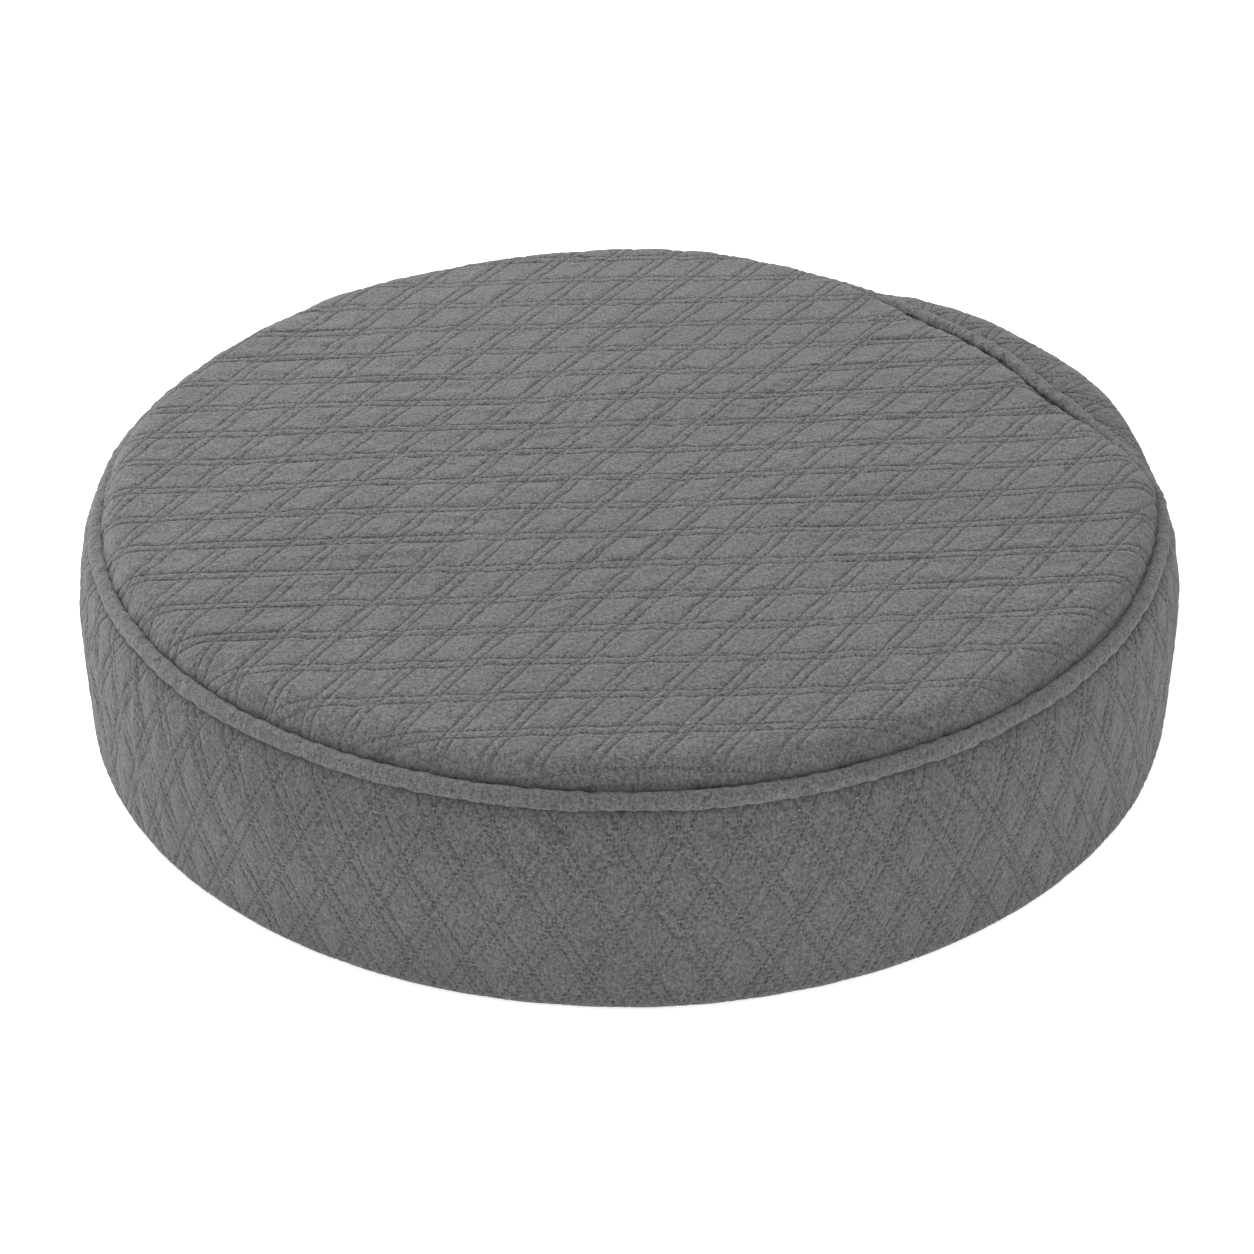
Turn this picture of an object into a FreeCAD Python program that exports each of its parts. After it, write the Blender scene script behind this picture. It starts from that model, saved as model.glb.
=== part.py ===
import FreeCAD, Part
import math
import os

# A round boxed kneeling pad: a foam cushion in a quilted fabric cover with a piped top
# edge, a non-slip underside and a zip in the back of its side band.
#
# Millimetres and degrees. The origin is the middle of the underside, which rests on the
# ground. +Z is up and -Y is the front. Angles run about +Z from +X towards +Y.

# Overall size: a 16 inch round pad, 3.5 inches thick.
pad_radius = 203.2
pad_height = 88.9

# Side band: a small round at the ground, a straight flank, then an arc that leans in
# to the piping.
bottom_round = 4.0
waist_height = 42.0
piping_crease_radius = 197.0
piping_crease_height = 75.2

# Top panel: a very flat dome that ends in a round shoulder beside the piping.
dome_edge_radius = 178.0
dome_drop = 1.4
top_crease_radius = 192.6
top_crease_height = 79.5

# Piping: a bias strip sewn round a soft cord, with its seam allowance pointing inwards.
piping_radius = 3.4
piping_centre = (193.65, 76.2)
piping_wall = 0.7
cord_radius = 2.6
allowance_length = 5.0
allowance_thickness = 1.2
allowance_angle = 225.0

# Thicknesses of the quilted layers and of the parts under them.
face_thickness = 1.0
band_wadding_thickness = 5.7
top_wadding_thickness = 4.5
backing_thickness = 0.4
layer_gap = 0.1
liner_thickness = 0.5
base_thickness = 1.5
foam_shoulder = 40.0
foam_joint_height = 57.0

# Grip dots, set flush in the underside on a triangular grid.
dot_radius = 3.5
dot_depth = 0.5
dot_spacing = 30.0
dot_field_radius = 186.0

# Zip: a nylon coil zip that runs round the back of the band.
zip_start = 78.0
zip_end = 172.0
zip_height = 36.0
opening_half_height = 8.0
hem_half_height = 18.0
strip_end_gap = 0.2
tape_radius = 197.6
tape_thickness = 0.6
tape_width = 15.0
slit_half_height = 0.6
coil_width = 2.8
coil_thickness = 2.1
end_tab_angle = 3.0
end_tab_thickness = 2.6
stop_angle = 0.7
stop_gap_angle = 0.25

# Slider: two plates joined by a neck that runs in the slit between the coils.
slider_angle = 3.0
slider_half_height = 5.0
plate_thickness = 1.0
running_gap = 0.4
flange_thickness = 1.1
neck_thickness = 0.6
neck_angle = 1.2
bridge_half_length = 3.4
bridge_width = 1.6
bridge_thickness = 0.8
bridge_rise = 2.2

# Pull: a crossbar under the bridge, two arms and a tab.
crossbar_radius = 0.55
crossbar_rise = 1.3
arm_inner_gap = 1.5
pull_half_width = 2.6
pull_thickness = 1.1
pull_length = 24.0
tab_start = 4.6
pull_hole_radius = 1.2

axis = FreeCAD.Vector(0, 0, 1)
origin = FreeCAD.Vector(0, 0, 0)

os.makedirs("parts", exist_ok=True)


def save(shape, name):
    """Writes one sub-part, and prints its volume so that a wrong one shows."""
    shape.exportStep("parts/" + name + ".step")
    print(name, len(shape.Solids), "solids", round(shape.Volume), "mm3", shape.isValid())


def section_point(radius, height):
    """A point of the half section, which lies in the XZ plane."""
    return FreeCAD.Vector(radius, 0, height)


def line(start, end):
    """A straight edge of the half section."""
    return Part.makeLine(section_point(*start), section_point(*end))


def arc(centre, radius, start_angle, end_angle):
    """An arc of the half section. Its angles run from +X towards +Z."""
    points = []
    for angle in (start_angle, (start_angle + end_angle) / 2, end_angle):
        turn = math.radians(angle)
        x = centre[0] + radius * math.cos(turn)
        z = centre[1] + radius * math.sin(turn)
        points.append(section_point(x, z))
    return Part.Arc(*points).toShape()


def face_of(edges):
    """A flat face inside a closed ring of edges given in any order."""
    return Part.Face(Part.Wire(Part.sortEdges(edges)[0]))


def between(outer, inner):
    """The flat face between two outlines that run the same way, with straight ends."""
    first = Part.makeLine(outer[0].Vertexes[0].Point, inner[0].Vertexes[0].Point)
    last = Part.makeLine(outer[-1].Vertexes[-1].Point, inner[-1].Vertexes[-1].Point)
    return face_of(outer + inner + [first, last])


def rectangle(low_radius, high_radius, low_height, high_height):
    """A flat rectangle of the half section."""
    corners = [
        (low_radius, low_height),
        (high_radius, low_height),
        (high_radius, high_height),
        (low_radius, high_height),
    ]
    return polygon(corners)


def polygon(corners):
    """A flat face of the half section with straight sides."""
    return face_of([line(a, b) for a, b in zip(corners, corners[1:] + corners[:1])])


def disc(centre, radius):
    """A flat round face of the half section."""
    circle = Part.makeCircle(radius, section_point(*centre), FreeCAD.Vector(0, 1, 0))
    return Part.Face(Part.Wire(circle))


def lift(height):
    """The point of the pad's axis at a height."""
    return FreeCAD.Vector(0, 0, height)


def turned(face, start=0.0, end=360.0):
    """The solid that a half section sweeps out between two angles about the pad's axis."""
    solid = face.revolve(origin, axis, end - start)
    solid.rotate(origin, axis, start)
    return solid


# Centres of the arcs, worked out from the creases that they pass through.
lean_in = pad_radius - piping_crease_radius
lean_height = piping_crease_height - waist_height
flank_arc_radius = (lean_in**2 + lean_height**2) / (2 * lean_in)
flank_centre = (pad_radius - flank_arc_radius, waist_height)

dome_radius = dome_edge_radius**2 / (2 * dome_drop)
dome_centre = (0.0, pad_height - dome_radius)
dome_edge_angle = math.degrees(math.acos(dome_edge_radius / dome_radius))
dome_edge_height = dome_centre[1] + dome_radius * math.sin(math.radians(dome_edge_angle))


def shoulder_arc():
    """The centre and radius of the arc that leaves the dome's edge smoothly and passes
    through the top crease."""
    turn = math.radians(dome_edge_angle)
    normal = (math.cos(turn), math.sin(turn))
    chord = (top_crease_radius - dome_edge_radius, top_crease_height - dome_edge_height)
    drop = -(chord[0] * normal[0] + chord[1] * normal[1])
    radius = (chord[0] ** 2 + chord[1] ** 2) / (2 * drop)
    centre = (dome_edge_radius - radius * normal[0], dome_edge_height - radius * normal[1])
    return centre, radius


shoulder_centre, shoulder_radius = shoulder_arc()


def flank_radius(height, depth):
    """The band's radius at a height, at a depth below its outer surface."""
    if height <= waist_height:
        return pad_radius - depth
    reach = flank_arc_radius - depth
    return flank_centre[0] + math.sqrt(reach**2 - (height - waist_height) ** 2)


def flank(depth, low, high):
    """The band's outline at a depth, from a low height up to a high one."""
    reach = flank_arc_radius - depth
    end_angle = math.degrees(math.asin((high - waist_height) / reach))
    if low >= waist_height:
        start_angle = math.degrees(math.asin((low - waist_height) / reach))
        return [arc(flank_centre, reach, start_angle, end_angle)]
    side = pad_radius - depth
    straight = line((side, low), (side, waist_height))
    return [straight, arc(flank_centre, reach, 0, end_angle)]


def foot(depth, high):
    """The band's outline from the ground seam round the bottom up to a height."""
    side = pad_radius - depth
    centre = (pad_radius - bottom_round, bottom_round)
    corner = arc(centre, bottom_round - depth, -90, 0)
    if high <= waist_height:
        return [corner, line((side, bottom_round), (side, high))]
    return [corner] + flank(depth, bottom_round, high)


def crown(depth, end_angle):
    """The top panel's outline at a depth, from the pad's axis to an angle of its shoulder."""
    dome = arc(dome_centre, dome_radius - depth, 90, dome_edge_angle)
    return [dome, arc(shoulder_centre, shoulder_radius - depth, dome_edge_angle, end_angle)]


face_inside = face_thickness
wadding_outside = face_inside + layer_gap
band_wadding_inside = wadding_outside + band_wadding_thickness
band_backing_outside = band_wadding_inside + layer_gap
band_backing_inside = band_backing_outside + backing_thickness
top_wadding_inside = wadding_outside + top_wadding_thickness
top_backing_outside = top_wadding_inside + layer_gap
top_backing_inside = top_backing_outside + backing_thickness

# The clear space round the piping, which both fabric faces stop at.
piping_clearance = disc(piping_centre, piping_radius + layer_gap / 2)
band_top = piping_centre[1]
lining_top = piping_centre[1] - piping_radius - 1.0
lining_bottom = bottom_round + layer_gap
cushion_bottom = base_thickness + layer_gap * 2
hidden_shoulder_angle = 42.0
piping_shoulder_angle = 32.0


def band_layer(outside, inside, low, high):
    """A layer of the side band between two depths and two heights."""
    return between(flank(outside, low, high), flank(inside, low, high))


def band_face_section():
    """The band's fabric, from the ground seam to the piping."""
    return between(foot(0, band_top), foot(face_inside, band_top)).cut(piping_clearance)


def make_top_panel():
    """The quilted top: fabric face, wadding and backing."""
    face = between(crown(0, piping_shoulder_angle), crown(face_inside, piping_shoulder_angle))
    save(turned(face.cut(piping_clearance)), "top_face")
    wadding = between(
        crown(wadding_outside, hidden_shoulder_angle),
        crown(top_wadding_inside, hidden_shoulder_angle),
    )
    save(turned(wadding), "top_wadding")
    backing = between(
        crown(top_backing_outside, hidden_shoulder_angle),
        crown(top_backing_inside, hidden_shoulder_angle),
    )
    save(turned(backing), "top_backing")


def make_front_band():
    """The quilted band round the front and sides, from one end of the zip to the other."""
    start, end = zip_end, zip_start + 360
    save(turned(band_face_section(), start, end), "band_face")
    wadding = band_layer(wadding_outside, band_wadding_inside, lining_bottom, lining_top)
    save(turned(wadding, start, end), "band_wadding")
    backing = band_layer(
        band_backing_outside, band_backing_inside, lining_bottom, lining_top
    )
    save(turned(backing, start, end), "band_backing")


def hem(side):
    """The outline of the folded fabric edge beside the zip, from the band's outer surface
    round to the fabric's inner surface. side is 1 above the zip and -1 below it."""
    join = zip_height + side * hem_half_height
    lip = zip_height + side * opening_half_height
    tape_face = tape_radius + tape_thickness + layer_gap / 2
    corners = [
        (flank_radius(join, 0), join),
        (tape_face + 3.2, lip + side),
        (tape_face + 2.4, lip),
        (tape_face, lip),
        (tape_face, zip_height + side * (tape_width + 0.5)),
        (flank_radius(join, face_inside), join),
    ]
    return [line(a, b) for a, b in zip(corners, corners[1:])]


def strip_section(outer, inner, side, closing):
    """A strip's fabric: the band's outline on both sides, the hem, and a straight end."""
    return face_of(outer + inner + hem(side) + [closing])


def make_zip_strips():
    """The two band strips above and below the zip, with their wadding and backing."""
    start, end = zip_start + strip_end_gap, zip_end - strip_end_gap
    top_join = zip_height + hem_half_height
    low_join = zip_height - hem_half_height
    outer, inner = flank(0, top_join, band_top), flank(face_inside, top_join, band_top)
    closing = Part.makeLine(outer[-1].Vertexes[-1].Point, inner[-1].Vertexes[-1].Point)
    upper = strip_section(outer, inner, 1, closing).cut(piping_clearance)
    save(turned(upper.Faces[0], start, end), "zip_strip_upper")
    outer, inner = foot(0, low_join), foot(face_inside, low_join)
    closing = Part.makeLine(outer[0].Vertexes[0].Point, inner[0].Vertexes[0].Point)
    lower = strip_section(outer, inner, -1, closing)
    save(turned(lower, start, end), "zip_strip_lower")
    for name, outside, inside in (
        ("zip_strip_wadding", wadding_outside, band_wadding_inside),
        ("zip_strip_backing", band_backing_outside, band_backing_inside),
    ):
        above = band_layer(outside, inside, top_join + layer_gap, lining_top)
        below = rectangle(
            pad_radius - inside, pad_radius - outside, lining_bottom, low_join - layer_gap
        )
        save(Part.makeCompound([turned(above, start, end), turned(below, start, end)]), name)


def make_piping():
    """The bias strip, with its seam allowance, and the cord inside it."""
    turn = math.radians(allowance_angle)
    along = (math.cos(turn), math.sin(turn))
    across = (-along[1], along[0])
    corners = []
    for reach, side in ((0, -1), (1, -1), (1, 1), (0, 1)):
        out = reach * (piping_radius + allowance_length)
        shift = side * allowance_thickness / 2
        corners.append(
            (
                piping_centre[0] + out * along[0] + shift * across[0],
                piping_centre[1] + out * along[1] + shift * across[1],
            )
        )
    tube = Part.makeTorus(piping_centre[0], piping_radius, lift(piping_centre[1]))
    hollow = Part.makeTorus(piping_centre[0], piping_radius - piping_wall, lift(piping_centre[1]))
    save(tube.fuse(turned(polygon(corners))).cut(hollow), "piping_cover")
    save(turned(disc(piping_centre, cord_radius)), "piping_cord")


def dot_places():
    """The centres of the grip dots, on a triangular grid inside a circle."""
    row_step = dot_spacing * math.sqrt(3) / 2
    rows = int(dot_field_radius / row_step)
    places = []
    for row in range(-rows, rows + 1):
        shift = dot_spacing / 2 if row % 2 else 0.0
        columns = int(dot_field_radius / dot_spacing) + 1
        for column in range(-columns, columns + 1):
            x, y = column * dot_spacing + shift, row * row_step
            if math.hypot(x, y) <= dot_field_radius:
                places.append((x, y))
    return places


def make_base():
    """The non-slip underside and its grip dots, whose faces are flush with it."""
    radius = pad_radius - bottom_round - layer_gap
    dots = [
        Part.makeCylinder(dot_radius, dot_depth, FreeCAD.Vector(x, y, 0)) for x, y in dot_places()
    ]
    panel = Part.makeCylinder(radius, base_thickness).cut(dots)
    save(panel, "base_panel")
    save(Part.makeCompound(dots), "grip_dots")


def pillow(depth, side, shoulder, low):
    """The half section of a cushion shape under the top panel: a domed top at a depth,
    a round shoulder and a straight side down to a low height."""
    reach = dome_radius - depth
    centre_radius = side - shoulder
    centre_height = dome_centre[1] + math.sqrt((reach - shoulder) ** 2 - centre_radius**2)
    centre = (centre_radius, centre_height)
    meet_angle = math.degrees(math.acos(centre_radius / (reach - shoulder)))
    dome = arc(dome_centre, reach, 90, meet_angle)
    round_edge = arc(centre, shoulder, meet_angle, 0)
    flank_line = line((side, centre_height), (side, low))
    floor_line = line((side, low), (0, low))
    axis_line = line((0, low), (0, dome_centre[1] + reach))
    return face_of([dome, round_edge, flank_line, floor_line, axis_line])


def make_cushion():
    """The foam in two glued layers, inside its own thin liner."""
    liner_side = pad_radius - band_backing_inside - layer_gap
    liner_depth = top_backing_inside + layer_gap
    outside = pillow(liner_depth, liner_side, foam_shoulder + liner_thickness, cushion_bottom)
    wall = liner_thickness
    inside = pillow(
        liner_depth + wall, liner_side - wall, foam_shoulder, cushion_bottom + wall
    )
    save(turned(outside.cut(inside).Faces[0]), "foam_liner")
    inset = wall + layer_gap
    foam = pillow(
        liner_depth + inset,
        liner_side - inset,
        foam_shoulder - layer_gap,
        cushion_bottom + inset,
    )
    below = rectangle(0, pad_radius, 0, foam_joint_height)
    above = rectangle(0, pad_radius, foam_joint_height, pad_height)
    save(turned(foam.common(below).Faces[0]), "support_foam")
    save(turned(foam.common(above).Faces[0]), "comfort_foam")


coil_inside = tape_radius + tape_thickness
coil_outside = coil_inside + coil_thickness
tab_end = zip_start + strip_end_gap + end_tab_angle
closed_stop = tab_end + stop_gap_angle
coil_start = closed_stop + stop_angle + 0.05
far_tab = zip_end - strip_end_gap - end_tab_angle
open_stop = far_tab - stop_gap_angle - stop_angle
coil_end = open_stop - 0.05
slider_middle = coil_start + stop_gap_angle + slider_angle / 2
slider_travel = coil_end - stop_gap_angle - slider_angle / 2 - slider_middle


def zip_rows(low, high, inside, outside, start, end):
    """A matching pair of bars above and below the zip's middle line."""
    rows = []
    for side in (1, -1):
        heights = sorted((zip_height + side * low, zip_height + side * high))
        rows.append(turned(rectangle(inside, outside, *heights), start, end))
    return rows


def make_zip():
    """The tapes, the coils, the stops and the fabric tabs over the zip's ends."""
    tape_ends = (zip_start + 2 * strip_end_gap, zip_end - 2 * strip_end_gap)
    tapes = zip_rows(slit_half_height, tape_width, tape_radius, coil_inside, *tape_ends)
    edge = slit_half_height + coil_width
    coils = zip_rows(slit_half_height, edge, coil_inside, coil_outside, coil_start, coil_end)
    for name, tape, coil in zip(("upper", "lower"), tapes, coils):
        save(tape, "zip_tape_" + name)
        save(coil, "zip_coil_" + name)
    stop_outside = coil_outside + layer_gap
    clips = zip_rows(
        slit_half_height, edge, coil_inside, stop_outside, closed_stop, closed_stop + stop_angle
    )
    save(Part.makeCompound(clips), "zip_closed_stops")
    bar = rectangle(coil_inside, stop_outside, zip_height - edge, zip_height + edge)
    save(turned(bar, open_stop, open_stop + stop_angle), "zip_open_stop")
    reach = opening_half_height - running_gap
    tab = rectangle(
        coil_inside, coil_inside + end_tab_thickness, zip_height - reach, zip_height + reach
    )
    near = turned(tab, zip_start + strip_end_gap, tab_end)
    far = turned(tab, far_tab, zip_end - strip_end_gap)
    save(Part.makeCompound([near, far]), "zip_end_tabs")


front_plate = coil_outside + running_gap
front_face = front_plate + plate_thickness


def make_slider():
    """The slider, whose plates are curved about the pad's axis like the zip itself."""
    low, high = zip_height - slider_half_height, zip_height + slider_half_height
    start, end = slider_middle - slider_angle / 2, slider_middle + slider_angle / 2
    back_face = tape_radius - running_gap
    body = turned(rectangle(front_plate, front_face, low, high), start, end)
    body = body.fuse(turned(rectangle(back_face - plate_thickness, back_face, low, high), start, end))
    flanges = zip_rows(
        slider_half_height - flange_thickness,
        slider_half_height,
        coil_inside + running_gap,
        front_plate,
        start,
        end,
    )
    neck = rectangle(
        back_face, front_plate, zip_height - neck_thickness / 2, zip_height + neck_thickness / 2
    )
    neck = turned(neck, slider_middle - neck_angle / 2, slider_middle + neck_angle / 2)
    body = body.fuse(flanges + [neck, bridge()]).removeSplitter()
    save(body, "zip_slider")


def bridge():
    """The arch on the slider's front that holds the pull. It is made on +X and then
    turned to the slider's place."""
    sink = 0.3
    outer = Part.makeBox(
        bridge_rise + bridge_thickness + sink,
        2 * bridge_half_length,
        bridge_width,
        FreeCAD.Vector(front_face - sink, -bridge_half_length, zip_height - bridge_width / 2),
    )
    post = 0.9
    hole = Part.makeBox(
        bridge_rise + sink,
        2 * (bridge_half_length - post),
        bridge_width,
        FreeCAD.Vector(front_face - sink, post - bridge_half_length, zip_height - bridge_width / 2),
    )
    arch = outer.cut(hole)
    arch.rotate(origin, axis, slider_middle)
    return arch


def make_pull():
    """The pull: a crossbar under the bridge, two arms and a round-ended tab with a hole.
    It is made on +X, lying along +Y, and then turned to the slider's place."""
    pivot = front_face + crossbar_rise
    low = zip_height - pull_half_width
    bar = Part.makeCylinder(
        crossbar_radius, 2 * pull_half_width, FreeCAD.Vector(pivot, 0, low), axis
    )
    side = pivot - pull_thickness / 2
    arm_width = pull_half_width - arm_inner_gap
    parts = []
    for bottom in (low, zip_height + arm_inner_gap):
        place = FreeCAD.Vector(side, 0, bottom)
        parts.append(Part.makeBox(pull_thickness, tab_start, arm_width, place))
    tab_length = pull_length - tab_start - pull_half_width
    place = FreeCAD.Vector(side, tab_start, low)
    parts.append(Part.makeBox(pull_thickness, tab_length, 2 * pull_half_width, place))
    outward = FreeCAD.Vector(1, 0, 0)
    tip = FreeCAD.Vector(side, pull_length - pull_half_width, zip_height)
    parts.append(Part.makeCylinder(pull_half_width, pull_thickness, tip, outward))
    pull = bar.fuse(parts).cut(
        Part.makeCylinder(pull_hole_radius, pull_thickness, tip, outward)
    )
    pull = pull.removeSplitter()
    pull.rotate(origin, axis, slider_middle)
    save(pull, "zip_pull")
    turn = math.radians(slider_middle)
    print("pull pivot", round(pivot * math.cos(turn), 3), round(pivot * math.sin(turn), 3))
    print("slider middle", slider_middle, "travel", round(slider_travel, 2))


make_top_panel()
make_front_band()
make_zip_strips()
make_piping()
make_base()
make_cushion()
make_zip()
make_slider()
make_pull()
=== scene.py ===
# %% [markdown]
# # A round quilted kneeling pad
#
# A boxed cushion: a quilted top and a quilted side band, joined by a piped seam, over a
# foam core. A zip hides in the back of the band, and the underside grips the floor.
#
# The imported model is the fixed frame. Its boxes give every driving size below, so the
# looks follow the design. Lengths are worked out in millimetres, as a sewing pattern is,
# and become metres only when a mesh is made.

# %% Load the frame
import bpy
import math
import numpy as np
from mathutils import Matrix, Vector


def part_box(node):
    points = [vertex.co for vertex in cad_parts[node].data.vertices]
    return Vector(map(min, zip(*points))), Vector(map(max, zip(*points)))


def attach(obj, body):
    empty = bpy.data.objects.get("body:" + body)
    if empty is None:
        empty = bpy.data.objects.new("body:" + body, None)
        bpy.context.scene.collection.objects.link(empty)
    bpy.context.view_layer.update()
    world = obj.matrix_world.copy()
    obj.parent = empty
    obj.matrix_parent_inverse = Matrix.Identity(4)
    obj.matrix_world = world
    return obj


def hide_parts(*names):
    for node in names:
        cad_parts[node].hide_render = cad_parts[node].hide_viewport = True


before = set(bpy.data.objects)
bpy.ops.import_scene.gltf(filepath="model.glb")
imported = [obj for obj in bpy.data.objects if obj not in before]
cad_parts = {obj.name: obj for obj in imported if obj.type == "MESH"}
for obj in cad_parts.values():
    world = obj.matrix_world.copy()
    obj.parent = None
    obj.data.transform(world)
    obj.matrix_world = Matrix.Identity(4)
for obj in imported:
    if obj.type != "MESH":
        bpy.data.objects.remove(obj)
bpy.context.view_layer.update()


# %% Sizes read from the frame
def node_size(node):
    """The lowest and highest corner of a node, in millimetres."""
    low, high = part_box(node)
    return np.array(low) * 1000, np.array(high) * 1000


pad_radius = node_size("band_face")[1][0]
pad_height = node_size("top_face")[1][2]
base_thickness = node_size("base_panel")[1][2]
zip_height = (node_size("zip_tape_upper")[0][2] + node_size("zip_tape_lower")[1][2]) / 2
zip_start, zip_end = math.radians(78), math.radians(172)
print(f"radius {pad_radius:.1f}, height {pad_height:.1f}, zip at {zip_height:.1f} mm")

# %% [markdown]
# ## Meshes from arrays
#
# A surface here is a function of two parameters, worked out for a whole grid at once.
# Neighbouring grid points become quads. A cloth shell is two such grids, outside and
# inside, closed along their edges, so that the panel has a real thickness.


# %% Grids and meshes
def grid_quads(rows, columns, start=0, wrap_rows=False, wrap_columns=False):
    """Quads between neighbours of a grid stored row by row. A wrapped side joins its last
    line to its first, as round a tube."""
    row = np.arange(rows if wrap_rows else rows - 1)
    column = np.arange(columns if wrap_columns else columns - 1)
    row, column = np.meshgrid(row, column, indexing="ij")
    next_row, next_column = (row + 1) % rows, (column + 1) % columns
    corners = (
        row * columns + column,
        next_row * columns + column,
        next_row * columns + next_column,
        row * columns + next_column,
    )
    return start + np.stack(corners, -1).reshape(-1, 4)


def rim_numbers(count):
    """Numbers of a square grid's edge points, in order round the edge."""
    numbers = np.arange(count * count).reshape(count, count)
    return np.concatenate([numbers[:-1, 0], numbers[-1, :-1], numbers[:0:-1, -1], numbers[0, :0:-1]])


def enclosed_volume(points, face_sets):
    """Signed volume of closed shells: each face is cut into a fan of triangles, and each
    triangle makes a tetrahedron with the origin. It is negative when faces look inwards."""
    total = 0.0
    for faces in face_sets:
        first = points[faces[:, 0]]
        for k in range(1, faces.shape[1] - 1):
            turned = np.cross(points[faces[:, k]], points[faces[:, k + 1]])
            total += np.einsum("ij,ij->", first, turned) / 6
    return total


def new_piece(name, points, face_sets, material, slot, values=None):
    """Makes a piece from points in millimetres and arrays of faces, all looking outwards,
    with smooth shading. values holds one number a point for each named attribute."""
    if enclosed_volume(points, face_sets) < 0:
        face_sets = [faces[:, ::-1] for faces in face_sets]
    loops = np.concatenate([faces.ravel() for faces in face_sets])
    sizes = np.concatenate([np.full(len(faces), faces.shape[1]) for faces in face_sets])
    starts = np.concatenate([[0], np.cumsum(sizes)[:-1]])
    mesh = bpy.data.meshes.new(name)
    mesh.vertices.add(len(points))
    mesh.vertices.foreach_set("co", (points / 1000).astype(np.float32).ravel())
    mesh.loops.add(len(loops))
    mesh.loops.foreach_set("vertex_index", loops.astype(np.int32))
    mesh.polygons.add(len(sizes))
    mesh.polygons.foreach_set("loop_start", starts.astype(np.int32))
    mesh.polygons.foreach_set("use_smooth", np.ones(len(sizes), bool))
    mesh.update(calc_edges=True)
    mesh.validate()
    for label, numbers in (values or {}).items():
        layer = mesh.attributes.new(label, "FLOAT", "POINT")
        layer.data.foreach_set("value", numbers.astype(np.float32))
    mesh.materials.append(material)
    piece = bpy.data.objects.new(name, mesh)
    bpy.context.scene.collection.objects.link(piece)
    print(f"{name}: {len(points)} points, {int((sizes - 2).sum())} triangles")
    return piece


# %% [markdown]
# ## The shape under the stitches
#
# The maker cut the top a little small at the right rear, so its piped seam is drawn in
# over the edge there and the band rolls up behind it. One number says how far: 0 where
# the seam sits on the edge, 1 where it is fully drawn in. Every surface blends between
# its two states by that number.


# %% The drawn-in seam
drawn_start, drawn_rise = -6, 26
drawn_end, drawn_fall = 81, 42


def ease(t):
    """Smooth step: three t squared less two t cubed, held at 0 and 1 outside the range."""
    t = np.clip(t, 0, 1)
    return t * t * (3 - 2 * t)


def drawn_in(theta):
    """How far the piped seam is drawn in at an angle: it rises from the right side and
    falls away towards the back. The angles above are in degrees."""
    degrees = np.degrees(np.arctan2(np.sin(theta), np.cos(theta)))
    return ease((drawn_end - degrees) / drawn_fall) * ease((degrees - drawn_start) / drawn_rise)


def mix(a, b, share):
    """Straight blend of two values: a at share 0, b at share 1."""
    return a + (b - a) * share


def soft_noise(x, y, size, seed, waves=20):
    """Smooth random ripples from about -1 to 1: the sum of sine waves of about one
    wavelength, with random directions and phases."""
    rng = np.random.default_rng(seed)
    total = np.zeros(np.broadcast(x, y).shape)
    for way, phase, stretch in rng.uniform((0, 0, 0.65), (6.28, 6.28, 1.5), (waves, 3)):
        k = 2 * math.pi / (size * stretch)
        total += np.sin(k * (x * math.cos(way) + y * math.sin(way)) + phase)
    return total / math.sqrt(waves)


# %% Side band outline
foot_round = 4.0
waist_height = 42.0
flank_radius = 92.0
band_crease = (197.0, 75.2)
rolled_outline = [(203.2, 55.0), (202.2, 67.0), (198.2, 76.6), (191.2, 82.0), (183.2, 83.9), (176.0, 83.2)]


def smooth_through(points, count):
    """A curve through listed points: on each span, the cubic whose slope at a point is
    half the step between its two neighbours."""
    points = np.array(points, float)
    padded = np.vstack([2 * points[0] - points[1], points, 2 * points[-1] - points[-2]])
    place = np.linspace(0, len(points) - 1, count)
    span = np.minimum(place.astype(int), len(points) - 2)
    t = (place - span)[:, None]
    p0, p1, p2, p3 = (padded[span + k] for k in range(4))
    slope, next_slope = (p2 - p0) / 2, (p3 - p1) / 2
    return (
        (2 * t**3 - 3 * t**2 + 1) * p1
        + (t**3 - 2 * t**2 + t) * slope
        + (3 * t**2 - 2 * t**3) * p2
        + (t**3 - t**2) * next_slope
    )


def even_steps(points, count):
    """The same line cut into steps of equal length, and its length."""
    steps = np.hypot(*np.diff(points, axis=0).T)
    run = np.concatenate([[0], np.cumsum(steps)])
    places = np.linspace(0, run[-1], count)
    return np.stack([np.interp(places, run, points[:, k]) for k in (0, 1)], -1), run[-1]


def arc(centre, radius, start, end, count=40):
    turn = np.radians(np.linspace(start, end, count))
    return np.stack([centre[0] + radius * np.cos(turn), centre[1] + radius * np.sin(turn)], -1)


foot = arc((pad_radius - foot_round, foot_round), foot_round, -90, 0)
lean = math.degrees(math.atan2(band_crease[1] - waist_height, band_crease[0] - pad_radius + flank_radius))
upright = np.vstack([foot, arc((pad_radius - flank_radius, waist_height), flank_radius, 0, lean)])
rolled = np.vstack([foot, smooth_through([(pad_radius, waist_height)] + rolled_outline, 80)])
profile_steps = 600
upright_line, upright_length = even_steps(upright, profile_steps)
rolled_line, rolled_length = even_steps(rolled, profile_steps)
print(f"band outline: {upright_length:.1f} mm, rolled {rolled_length:.1f} mm")


def band_length(theta):
    return mix(upright_length, rolled_length, drawn_in(theta))


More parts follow.
